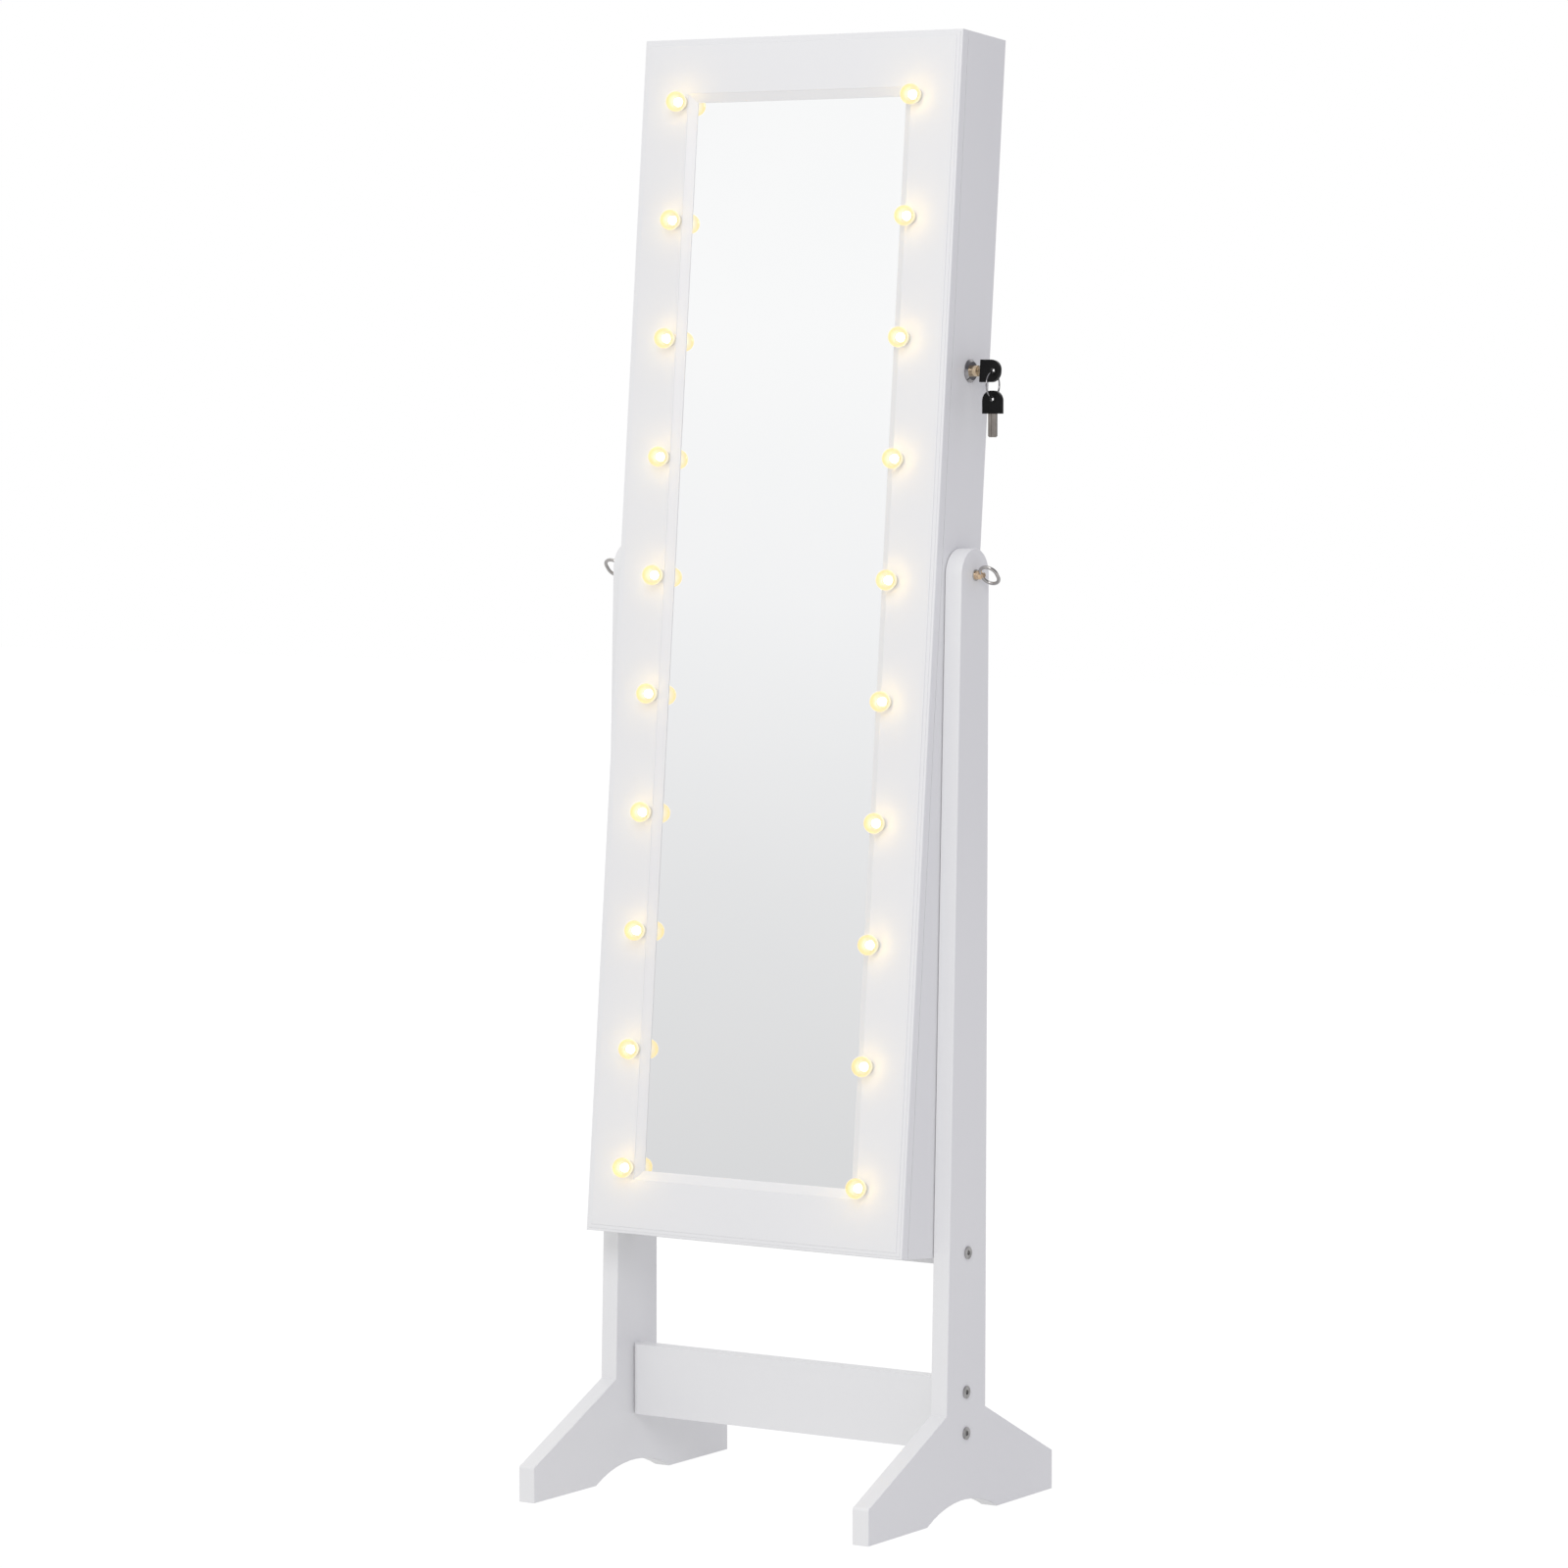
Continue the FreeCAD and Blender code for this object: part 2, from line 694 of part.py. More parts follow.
make_end("top_panel", INNER_TOP, "cab_top", f"{INNER_TOP} + back_rabbet")
make_end("bottom_panel", INNER_BOTTOM, BOTTOM, f"{INNER_BOTTOM} - back_rabbet")
block("back_panel", in_case(),
      f"-({INNER} + back_rabbet)", f"{BACK} - back_thickness", f"{INNER_BOTTOM} - back_rabbet",
      f"{INNER} + back_rabbet", BACK, f"{INNER_TOP} + back_rabbet")
block("back_lining", in_case(),
      f"-{INNER}", LINING, INNER_BOTTOM, INNER, f"{LINING} + lining_thickness", INNER_TOP)

# Shelves, numbered from the top, each over its bay

BAYS = ["ring_bay", "earring_bay", "bangle_bay", "open_bay", "bottom_bay"]
shelf_tops = []
for count in range(len(BAYS)):
    below = " + ".join(BAYS[count:])
    shelf_tops.append(f"({INNER_BOTTOM} + {below} + {len(BAYS) - count} * shelf_thickness)")
    block(f"shelf_{count + 1}", in_case(), f"-{INNER}", SHELF_FRONT, f"{shelf_tops[-1]} - shelf_thickness",
          INNER, LINING, shelf_tops[-1])


def make_fences():
    """Low fences along the front of the open shelves and of the case's floor."""
    fences = Piece("shelf_fences", in_case())
    for floor in shelf_tops[3:] + [INNER_BOTTOM]:
        fences.pad("XY", [rect(f"-{INNER}", SHELF_FRONT, INNER, f"{SHELF_FRONT} + fence_thickness")],
                   floor, f"{floor} + fence_height")


make_fences()

# Necklace hooks

HOOK_RAIL_TOP = f"({INNER_TOP} - hook_rail_drop)"
HOOK_RAIL_FRONT = f"({LINING} - hook_rail_thickness)"
HOOK_W = f"({HOOK_RAIL_TOP} - hook_rail_height / 2)"
HOOK_END = f"({INNER} - hook_margin)"
block("hook_rail", in_case(),
      f"-{INNER}", HOOK_RAIL_FRONT, f"{HOOK_RAIL_TOP} - hook_rail_height", INNER, LINING, HOOK_RAIL_TOP)


def make_hooks():
    """Wire hooks that stand out of the rail and bend up."""
    hooks = Piece("necklace_hooks", in_case(f"-{HOOK_END}", HOOK_RAIL_FRONT, HOOK_W))
    path = [
        ("0", "0"),
        ("-hook_reach", "0", "-hook_reach", "hook_bend_radius", "hook_bend_radius"),
        ("-hook_reach - hook_bend_radius", "hook_bend_radius"),
        ("-hook_reach - hook_bend_radius", "hook_bend_radius + hook_rise"),
    ]
    hook = hooks.pipe("YZ", path, "XZ", disc("0", "0", "hook_wire_radius"))
    hooks.repeat([hook], rows=("X", f"2 * {HOOK_END} / {HOOKS - 1}", HOOKS))


make_hooks()


def make_ring_cushion():
    """A padded block whose front is a row of rolls, with ring slits between them."""
    cushion = Piece("ring_cushion", in_case(v=LINING, w=f"{shelf_tops[1]} + ring_bay / 2"))
    half = "(ring_bay / 2 - cushion_margin)"
    pitch = f"(2 * {half} / {ROLLS})"
    front = "(-cushion_gap - cushion_base)"
    radius = f"sqrt(roll_sink ^ 2 + ({pitch} / 2) ^ 2)"
    outline = [("-cushion_gap", f"-{half}"), ("-cushion_gap", half)]
    for roll in range(ROLLS):
        top = f"{half} - {pitch} * {roll}"
        outline.append((front, top, f"{front} + roll_sink", f"{top} - {pitch} / 2", radius))
    outline.append((front, f"-{half}"))
    cushion.pad("YZ", [outline], f"cushion_gap - {INNER}", f"{INNER} - cushion_gap")


make_ring_cushion()

# Earring panel

EARRING_REAR = f"({LINING} - earring_standoff)"


def make_earring_panel():
    """A thin board with rows of slots between its two cleats."""
    panel = Piece("earring_panel", in_case(v=EARRING_REAR, w=f"{shelf_tops[2]} + earring_bay / 2"))
    face = rect(f"-{INNER}", "-earring_bay / 2", INNER, "earring_bay / 2")
    panel.pad("XZ", [face], "-earring_thickness", "0")
    span = f"({INNER} - earring_margin)"
    slot_length = f"((2 * {span} - slot_bridge * {SLOT_COLUMNS - 1}) / {SLOT_COLUMNS})"
    slots = []
    for column in range(SLOT_COLUMNS):
        left = f"{column} * ({slot_length} + slot_bridge) - {span}"
        for line in range(SLOT_ROWS):
            middle = f"earring_bay * ({line + 1} / {SLOT_ROWS + 1} - 1 / 2)"
            slots.append(rect(left, f"{middle} - slot_height / 2", f"{left} + {slot_length}",
                              f"{middle} + slot_height / 2"))
    panel.cut("XZ", slots, "-earring_thickness", "0")


def make_cleats():
    cleats = Piece("earring_cleats", in_case())
    section = rect(f"{INNER} - cleat_size", EARRING_REAR, INNER, f"{EARRING_REAR} + cleat_size")
    cleat = cleats.pad("XY", [section], shelf_tops[2], f"{shelf_tops[2]} + earring_bay")
    cleats.repeat([cleat], mirrored="YZ")


make_earring_panel()
make_cleats()

# Bangle rod

at_rod = in_case(v=f"{LINING} - rod_standoff", w=f"{shelf_tops[2]} - shelf_thickness - rod_drop")


def make_bangle_rod():
    rod = Piece("bangle_rod", at_rod)
    end = f"({INNER} - socket_floor - rod_clearance)"
    rod.pad("YZ", [disc("0", "0", "rod_radius")], f"-{end}", end)
    sockets = Piece("rod_sockets", at_rod)
    floor = sockets.pad("YZ", [disc("0", "0", "socket_radius")], f"{INNER} - socket_floor", INNER)
    wall = sockets.pad("YZ", [disc("0", "0", "socket_radius"), disc("0", "0", "rod_radius + rod_clearance")],
                       f"{INNER} - socket_depth", f"{INNER} - socket_floor")
    sockets.repeat([floor, wall], mirrored="YZ")


make_bangle_rod()

# Door frame: one moulded section, mitred at the corners


def frame_section(across, back):
    """The moulding's outline: stepped beads outside, a bead and a bevel inside, a rebate for the mirror."""
    def corner(a, b):
        return (across(a), back(b))

    def bead(a, b, centre_a, centre_b):
        return (across(a), back(b), across(centre_a), back(centre_b), "bead_step")

    inner_bead = "(frame_width - inner_bead)"
    rebate = "door_thickness - mirror_thickness - mirror_backing"
    return [
        corner("0", "door_thickness"),
        bead("0", "3 * bead_step", "bead_step", "3 * bead_step"),
        corner("bead_step", "2 * bead_step"),
        bead("outer_bead", "2 * bead_step", "outer_bead + bead_step", "2 * bead_step"),
        corner("outer_bead + bead_step", "bead_step"),
        bead("outer_quirk", "bead_step", "outer_quirk + bead_step", "bead_step"),
        corner("outer_quirk + bead_step", "0"),
        bead(f"{inner_bead} - bead_step", "0", f"{inner_bead} - bead_step", "bead_step"),
        corner(inner_bead, "bead_step"),
        corner("frame_width", "bead_step + inner_bevel"),
        corner("frame_width", rebate),
        corner("frame_width - mirror_lap - mirror_play", rebate),
        corner("frame_width - mirror_lap - mirror_play", "door_thickness"),
    ]


def door_back_of(b):
    return f"{b} - cab_front"


def make_stile(label, sign):
    stile = Piece(label, in_case())
    stile.pad("XY", [frame_section(lambda a: f"{sign}({SIDE} - ({a}))", door_back_of)], BOTTOM, "cab_top")
    outer, inner = f"{sign}({SIDE} + overrun)", f"{sign}({SIDE} - frame_width - overrun)"
    above, below = "cab_top + overrun", f"{BOTTOM} - overrun"
    top = [(outer, above), (inner, "cab_top - frame_width - overrun"), (inner, above)]
    low = [(outer, below), (inner, f"{BOTTOM} + frame_width + overrun"), (inner, below)]
    stile.cut("XZ", [top, low], "-cab_front - overrun", f"{SEAM} + overrun")
    lamps = [disc(f"{sign}{LAMP_X}", f"{LAMP_TOP} - {lamp} * {LAMP_STEP}", "lamp_tail_radius + lamp_fit")
             for lamp in range(LAMP_ROWS)]
    stile.cut("XZ", lamps, "-cab_front - overrun", f"{SEAM} + overrun")
    return stile


def make_rail(label, edge, inwards):
    rail = Piece(label, in_case())
    rail.pad("YZ", [[(up, across, *more) for across, up, *more in rail_corners(edge, inwards)]],
             f"-({SIDE})", SIDE)
    outer, inner = f"{edge} {inwards} -overrun", f"{edge} {inwards} (frame_width + overrun)"
    ends = [[(f"{sign}({SIDE} + overrun)", outer), (f"{sign}({SIDE} + overrun)", inner),
             (f"{sign}({SIDE} - frame_width - overrun)", inner)] for sign in ("-", "")]
    rail.cut("XZ", ends, "-cab_front - overrun", f"{SEAM} + overrun")


def rail_corners(edge, inwards):
    """The moulding's outline with v first, for a member that runs across."""
    for corner in frame_section(lambda a: f"{edge} {inwards} ({a})", door_back_of):
        if len(corner) == 2:
            yield corner
        else:
            across, back, centre_across, centre_back, radius = corner
            yield (across, back, centre_back, centre_across, radius)


left_stile = make_stile("door_left_stile", "-")
make_stile("door_right_stile", "")
make_rail("door_top_rail", "cab_top", "-")
make_rail("door_bottom_rail", BOTTOM, "+")

# Mirror and door back

MIRROR_X = f"({SIDE} - frame_width + mirror_lap)"
MIRROR_TOP = "(cab_top - frame_width + mirror_lap)"
MIRROR_LOW = f"({BOTTOM} + frame_width - mirror_lap)"
GROOVE_FLOOR = f"({SEAM} + lamp_tail_reach + 2 * wire_radius + groove_play)"
MIRROR_REAR = f"({SEAM} - mirror_backing)"
block("mirror", in_case(),
      f"-{MIRROR_X}", f"{MIRROR_REAR} - mirror_thickness", MIRROR_LOW, MIRROR_X, MIRROR_REAR, MIRROR_TOP)


def make_door_back():
    """The board behind the mirror, grooved for the lamp wiring."""
    board = block("door_back", in_case(),
                  f"door_back_gap - {INNER}", SEAM, f"{INNER_BOTTOM} + door_back_gap",
                  f"{INNER} - door_back_gap", DOOR_REAR, f"{INNER_TOP} - door_back_gap")
    outer, inner = f"({LAMP_X} + groove_width / 2)", f"({LAMP_X} - groove_width / 2)"
    low = f"{LAMP_LOW} - groove_width"
    high, under = f"{WIRE_TOP} + groove_width / 2", f"{WIRE_TOP} - groove_width / 2"
    groove = [(f"-{outer}", low), (f"-{outer}", high), (outer, high), (outer, low),
              (inner, low), (inner, under), (f"-{inner}", under), (f"-{inner}", low)]
    board.cut("XZ", [groove], SEAM, GROOVE_FLOOR)
    wire_hole = disc("0", WIRE_TOP, "wire_radius + running_clearance")
    board.cut("XZ", [wire_hole], GROOVE_FLOOR, DOOR_REAR)


make_door_back()

# Lamps, each turned about its own axis and repeated down both stiles

FACE = "-cab_front"


def make_lamps(label, profile):
    lamps = Piece(label, in_case(w=LAMP_LOW))
    lamp = lamps.turn("XY", profile, "V_Axis", shift=(LAMP_X, FACE))
    lamps.repeat([lamp], rows=("Z", LAMP_STEP, LAMP_ROWS), mirrored="YZ")


neck_top = "-lamp_flange_height - lamp_neck_height"
tail_end = "door_thickness + lamp_tail_reach"
make_lamps("lamp_sockets", [
    ("0", tail_end),
    ("0", neck_top),
    ("lamp_neck_radius", neck_top),
    ("lamp_neck_radius", "-lamp_flange_height"),
    ("lamp_flange_radius", "-lamp_flange_height"),
    ("lamp_flange_radius", "0"),
    ("lamp_tail_radius", "0"),
    ("lamp_tail_radius", tail_end),
])
make_lamps("lamp_chips", [
    ("0", neck_top),
    ("0", f"{neck_top} - chip_height"),
    ("chip_radius", f"{neck_top} - chip_height + chip_radius"),
    ("chip_radius", neck_top),
])


def globe_profile():
    """A thin glass ball with an open mouth round the socket's neck, cut in two arcs inside and out."""
    mouth = "(lamp_neck_radius + lamp_fit)"
    cavity = "(globe_radius - globe_wall)"
    seat = "(-lamp_flange_height - globe_seat)"
    middle = f"({seat} - sqrt(globe_radius ^ 2 - {mouth} ^ 2))"
    centre = ("0", middle)
    return [
        (mouth, seat, *centre, "globe_radius"),
        ("globe_radius", middle, *centre, "globe_radius"),
        ("0", f"{middle} - globe_radius"),
        ("0", f"{middle} - {cavity}", *centre, cavity),
        (cavity, middle, *centre, cavity),
        (mouth, f"{middle} + sqrt({cavity} ^ 2 - {mouth} ^ 2)"),
    ]


make_lamps("lamp_globes", globe_profile())


def make_wiring():
    """The lead behind the sockets, down both grooves and across under the battery box."""
    wiring = Piece("lamp_wiring", in_case())
    level = f"({SEAM} + lamp_tail_reach + wire_radius)"
    runs = [disc(f"{sign}{LAMP_X}", level, "wire_radius") for sign in ("-", "")]
    wiring.pad("XY", runs, LAMP_LOW, WIRE_TOP)
    wiring.pad("YZ", [disc(level, WIRE_TOP, "wire_radius")],
               f"-{LAMP_X} - wire_radius", f"{LAMP_X} + wire_radius")
    wiring.pad("XZ", [disc("0", WIRE_TOP, "wire_radius")], level, f"{DOOR_REAR} + box_wall")


make_wiring()

# Battery box on the door's inner face

BOX_LOW = f"({WIRE_TOP} - box_height / 2)"
BOX_HIGH = f"({WIRE_TOP} + box_height / 2)"
BOX_RIM = f"({DOOR_REAR} + box_depth)"
BOX_FLOOR = f"({DOOR_REAR} + box_wall)"
SWITCH_V = f"({DOOR_REAR} + box_depth * {SWITCH_DEPTH_SHARE})"


def make_battery_box():
    box = block("battery_box", in_case(),
                "-box_width / 2", DOOR_REAR, BOX_LOW, "box_width / 2", BOX_RIM, BOX_HIGH)
    cavity = rect("box_wall - box_width / 2", f"{BOX_LOW} + box_wall",
                  "box_width / 2 - box_wall", f"{BOX_HIGH} - box_wall")
    box.cut("XZ", [cavity], BOX_FLOOR, BOX_RIM)
    box.cut("XZ", [disc("0", WIRE_TOP, "wire_radius + running_clearance")], DOOR_REAR, BOX_FLOOR)
    slot = rect(f"{SWITCH_V} - switch_width / 2 - switch_play",
                f"{WIRE_TOP} - switch_length / 2 - switch_play",
                f"{SWITCH_V} + switch_width / 2 + switch_play",
                f"{WIRE_TOP} + switch_length / 2 + switch_travel + switch_play")
    box.cut("YZ", [slot], "box_width / 2 - box_wall", "box_width / 2")
    block("battery_cover", in_case(),
          "-box_width / 2", BOX_RIM, BOX_LOW, "box_width / 2", f"{BOX_RIM} + box_wall", BOX_HIGH)
    cells = Piece("cells", in_case())
    depth = f"{BOX_FLOOR} + cell_gap + cell_radius"
    seats = [disc(depth, f"{WIRE_TOP} + {place} * (2 * cell_radius + cell_space)", "cell_radius")
             for place in (-1, 0, 1)]
    cells.pad("YZ", seats, "-cell_length / 2", "cell_length / 2")


def make_switch():
    """A slider that stands out of the slot, kept in by a flange inside the wall."""
    slider = Piece("light_switch", in_case(v=SWITCH_V, w=WIRE_TOP))
    wall = "(box_width / 2 - box_wall)"
    knob = rect("-switch_width / 2", "-switch_length / 2", "switch_width / 2", "switch_length / 2")
    slider.pad("YZ", [knob], f"{wall} - switch_play", "box_width / 2 + switch_reach")
    half_width, half_length = "(switch_width / 2 + switch_flange)", "(switch_length / 2 + switch_flange)"
    slider.pad("YZ", [rect(f"-{half_width}", f"-{half_length}", half_width, half_length)],
               f"{wall} - switch_play - switch_flange_thickness", f"{wall} - switch_play")


make_battery_box()
make_switch()

# Hinges: leaves let into the stile and the side, three knuckles on each pin

HINGES = ["upper_hinge", "middle_hinge", f"({BOTTOM} + lower_hinge_rise)"]
LEAF_EDGE = f"(-{INNER} - hinge_leaf_inset)"
KNUCKLE = "((hinge_length - 2 * hinge_knuckle_gap) / 3)"


def knuckle_span(place, number):
    low = f"{place} - hinge_length / 2 + {number} * ({KNUCKLE} + hinge_knuckle_gap)"
    return low, f"{low} + {KNUCKLE}"


def make_leaves(label, front, rear, numbers):
    """A leaf at each hinge with its share of the knuckles."""
    leaves = Piece(label, in_case())
    rings = [disc(HINGE_X, HINGE_V, "hinge_radius"),
             disc(HINGE_X, HINGE_V, "hinge_pin_radius + running_clearance")]
    root = rect(f"{HINGE_X} + hinge_radius * {KNUCKLE_ROOT_SHARE}", front, f"-({SIDE})", rear)
    for place in HINGES:
        leaves.pad("XY", [rect(f"-({SIDE})", front, LEAF_EDGE, rear)],
                   f"{place} - hinge_length / 2", f"{place} + hinge_length / 2")
        for number in numbers:
            span = knuckle_span(place, number)
            leaves.pad("XY", rings, *span)
            leaves.pad("XY", [root], *span)


LEAF_BACK = f"({CASE_FRONT} + hinge_leaf_thickness)"
LEAF_FRONT = f"({SEAM} - hinge_leaf_thickness)"
make_leaves("hinge_case_leaves", CASE_FRONT, LEAF_BACK, (0, 2))
make_leaves("hinge_door_leaves", LEAF_FRONT, SEAM, (1,))
mortises = [rect(f"-({SIDE})", f"{place} - hinge_length / 2", LEAF_EDGE, f"{place} + hinge_length / 2")
            for place in HINGES]
left_side.cut("XZ", mortises, CASE_FRONT, LEAF_BACK)
left_stile.cut("XZ", mortises, LEAF_FRONT, SEAM)


def make_hinge_pins():
    pins = Piece("hinge_pins", in_case())
    for place in HINGES:
        top = f"{place} + hinge_length / 2"
        pins.pad("XY", [disc(HINGE_X, HINGE_V, "hinge_pin_radius")], f"{place} - hinge_length / 2", top)
        pins.pad("XY", [disc(HINGE_X, HINGE_V, "hinge_radius")], top, f"{top} + hinge_pin_head")


make_hinge_pins()

# Lock, drawn about its axis with x from the side's outer face

at_lock = in_case(SIDE, LOCK_V, "lock_height")
CORE_FACE = "(lock_flange_thickness + core_proud)"
CORE_END = "(-lock_length - cam_gap)"
CAM_END = f"({CORE_END} - cam_thickness)"


def make_lock():
    housing = Piece("lock_housing", at_lock)
    housing.turn("XZ", [
        ("-lock_length", "core_radius + running_clearance"),
        ("-lock_length", "lock_radius"),
        ("0", "lock_radius"),
        ("0", "lock_flange_radius"),
        ("lock_flange_thickness - lock_flange_bevel", "lock_flange_radius"),
        ("lock_flange_thickness", "lock_flange_radius - lock_flange_bevel"),
        ("lock_flange_thickness", "core_radius + running_clearance"),
    ], "H_Axis")
    nut = Piece("lock_nut", at_lock)
    corner, rise = "lock_nut_radius * sqrt(3) / 2", "lock_nut_radius / 2"
    hexagon = [("0", "lock_nut_radius"), (f"-{corner}", rise), (f"-{corner}", f"-{rise}"),
               ("0", "-lock_nut_radius"), (corner, f"-{rise}"), (corner, rise)]
    nut.pad("YZ", [hexagon, disc("0", "0", "lock_radius")], "-panel_thickness - lock_nut_thickness",
            "-panel_thickness")


def make_lock_core():
    """The plug that the key turns, with its keyway and a square tail for the cam."""
    core = Piece("lock_core", at_lock)
    core.pad("YZ", [disc("0", "0", "core_radius")], CORE_END, CORE_FACE)
    tail = rect("-core_tail / 2", "-core_tail / 2", "core_tail / 2", "core_tail / 2")
    core.pad("YZ", [tail], CAM_END, CORE_END)
    across, up = "(blade_thickness / 2 + key_play)", "(blade_width / 2 + key_play)"
    core.cut("YZ", [rect(f"-{across}", f"-{up}", across, up)], "key_reach - blade_length - key_play",
             CORE_FACE)
    cam = Piece("lock_cam", at_lock)
    tip = f"({DOOR_REAR} + cam_tip_gap - {LOCK_V})"
    reach = f"({tip} + cam_tip_radius)"
    outline = [
        ("0", "cam_root_radius", "0", "0", "cam_root_radius"),
        ("cam_root_radius", "0", "0", "0", "cam_root_radius"),
        ("0", "-cam_root_radius"),
        (reach, "-cam_tip_radius", reach, "0", "cam_tip_radius"),
        (tip, "0", reach, "0", "cam_tip_radius"),
        (reach, "cam_tip_radius"),
    ]
    bore = "core_tail / 2 + running_clearance"
    cam.pad("YZ", [outline, rect(f"-({bore})", f"-({bore})", bore, bore)], CAM_END, CORE_END)
    screw = Piece("cam_screw", at_lock)
    screw.pad("YZ", [disc("0", "0", "cam_screw_radius")], f"{CAM_END} - cam_screw_height", CAM_END)


make_lock()
make_lock_core()


def make_strike():
    """The door's catch: a foot on the door back, an arm along the side and a lip behind the turned cam."""
    strike = Piece("strike_plate", in_case(w="lock_height - strike_drop - strike_height"))
    outer = f"({INNER} - strike_offset)"
    inner = f"({outer} - strike_thickness)"
    lip = f"({LOCK_V} + cam_tip_radius + strike_play)"
    outline = [
        (outer, DOOR_REAR),
        (outer, f"{lip} + strike_thickness"),
        (f"{outer} - strike_lip", f"{lip} + strike_thickness"),
        (f"{outer} - strike_lip", lip),
        (inner, lip),
        (inner, f"{DOOR_REAR} + strike_thickness"),
        (f"{outer} - strike_foot", f"{DOOR_REAR} + strike_thickness"),
        (f"{outer} - strike_foot", DOOR_REAR),
    ]
    strike.pad("XY", [outline], "0", "strike_height")


make_strike()

# Keys, drawn about the hole in the bow with the bow's end at +x

in_lock = in_case(BOW_HOLE_X, LOCK_V, "lock_height")
BOW_START = "(bow_hole_inset - bow_length)"


def make_key(prefix, seat):
    """A plastic bow with a raised rim round its hole, and a flat blade grooved along both faces."""
    bow = Piece(f"{prefix}_bow", seat)
    half, crown, face = "(bow_width / 2)", "(bow_hole_inset - bow_corner)", "(bow_thickness / 2)"
    outline = [
        (BOW_START, f"-{half}"),
        (crown, f"-{half}", crown, f"bow_corner - {half}", "bow_corner"),
        ("bow_hole_inset", f"bow_corner - {half}"),
        ("bow_hole_inset", f"{half} - bow_corner", crown, f"{half} - bow_corner", "bow_corner"),
        (crown, half),
        (BOW_START, half),
    ]
    hole = disc("0", "0", "bow_hole_radius")
    bow.pad("XZ", [outline, hole], f"-{face}", face)
    bow.pad("XZ", [disc("0", "0", "bow_rim_radius"), hole], f"-{face} - bow_rim_height",
            f"{face} + bow_rim_height")
    blade = Piece(f"{prefix}_blade", seat)
    edge, side = "(blade_width / 2)", "(blade_thickness / 2)"
    tip = f"({BOW_START} - blade_length)"
    outline = [
        (BOW_START, edge),
        (f"{tip} + blade_tip_cut", edge),
        (tip, f"{edge} - blade_tip_cut"),
        (tip, f"blade_tip_cut - {edge}"),
        (f"{tip} + blade_tip_cut", f"-{edge}"),
        (BOW_START, f"-{edge}"),
    ]
    blade.pad("XZ", [outline], f"-{side}", side)
    groove = [rect(tip, "-blade_groove_width / 2", BOW_START, "blade_groove_width / 2")]
    blade.cut("XZ", groove, f"-{side}", f"blade_groove_depth - {side}")
    blade.cut("XZ", groove, f"{side} - blade_groove_depth", side)


make_key("key", in_lock)
make_key("spare_key", hanging_key)

ring = doc.addObject("Part::Torus", "key_ring")
ring.Label = "key_ring"
ring_y, ring_z = turned_back(LOCK_V, RING_W)
ring.Placement.Rotation = FreeCAD.Rotation(FreeCAD.Vector(0, 1, 0), 90)
bind(ring, Radius1="ring_radius", Radius2="ring_wire_radius", Placement__Base__x=BOW_HOLE_X,
     Placement__Base__y=ring_y, Placement__Base__z=ring_z)

# Check every object and write each piece

doc.recompute()
for item in doc.Objects:
    if "Invalid" in item.State or "Error" in item.State:
        raise RuntimeError(f"{item.Label} failed: {item.State}")

pieces = [item for item in doc.Objects if item.TypeId == "PartDesign::Body"] + [ring]
os.makedirs("parts", exist_ok=True)
for item in pieces:
    if item.Shape.isNull() or not item.Shape.isValid() or not item.Shape.Solids:
        raise RuntimeError(f"{item.Label} has no valid solid")
for item in pieces:
    item.Shape.exportStep(os.path.join("parts", item.Label + ".step"))
print(len(pieces), "pieces,", sum(len(item.Shape.Solids) for item in pieces), "solids")
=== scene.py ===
"""Looks for a free-standing jewelry cabinet with a lamp-lit mirror door on a tilting stand."""
import json
import math

import bmesh
import bpy
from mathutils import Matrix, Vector


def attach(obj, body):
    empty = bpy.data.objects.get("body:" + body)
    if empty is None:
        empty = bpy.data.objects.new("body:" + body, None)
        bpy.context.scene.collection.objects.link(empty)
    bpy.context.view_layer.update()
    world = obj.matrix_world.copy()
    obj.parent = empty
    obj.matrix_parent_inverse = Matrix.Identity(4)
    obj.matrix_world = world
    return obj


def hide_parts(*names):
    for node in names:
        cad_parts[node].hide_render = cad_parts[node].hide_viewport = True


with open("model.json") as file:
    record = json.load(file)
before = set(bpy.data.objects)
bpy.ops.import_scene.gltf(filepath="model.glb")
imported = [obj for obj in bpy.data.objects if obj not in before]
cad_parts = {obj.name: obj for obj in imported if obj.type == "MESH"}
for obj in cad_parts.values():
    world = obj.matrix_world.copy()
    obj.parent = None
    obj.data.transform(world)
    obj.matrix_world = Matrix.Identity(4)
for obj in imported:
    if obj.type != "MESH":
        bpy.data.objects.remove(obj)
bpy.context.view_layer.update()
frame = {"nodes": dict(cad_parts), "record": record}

nodes = frame["nodes"]
record = frame["record"]
bodies = record["behaviour"]["bodies"]
body_of = {node: body for body, members in bodies.items() for node in members}
slot_of = {part["node"]: part["material_slot"] for part in record["subparts"]}
scene = bpy.context.scene

MM = 0.001
WHITE = (1.0, 1.0, 1.0)

# The leaning case: its pivot in metres and its lean at rest
PIVOT = Vector((0, 0.020, 0.928))
LEAN = math.radians(5.28)

# Depth of a lamp globe, from the pivot: clear amber glass whose painted glow is amber in front and
# pale at the foot
GLOBE_MIDDLE = -0.0570
GLOBE_FOOT = -0.0495

# Pivot bolt, from the middle of the stand: where its collar, cone and neck end
COLLAR_END = 0.2113
CONE_START = 0.2117
CONE_END = 0.2135
NECK_END = 0.2163
CONE_RADIUS = 0.0045
CONE_SLOPE = 0.956
METAL_BLEND = 0.0001

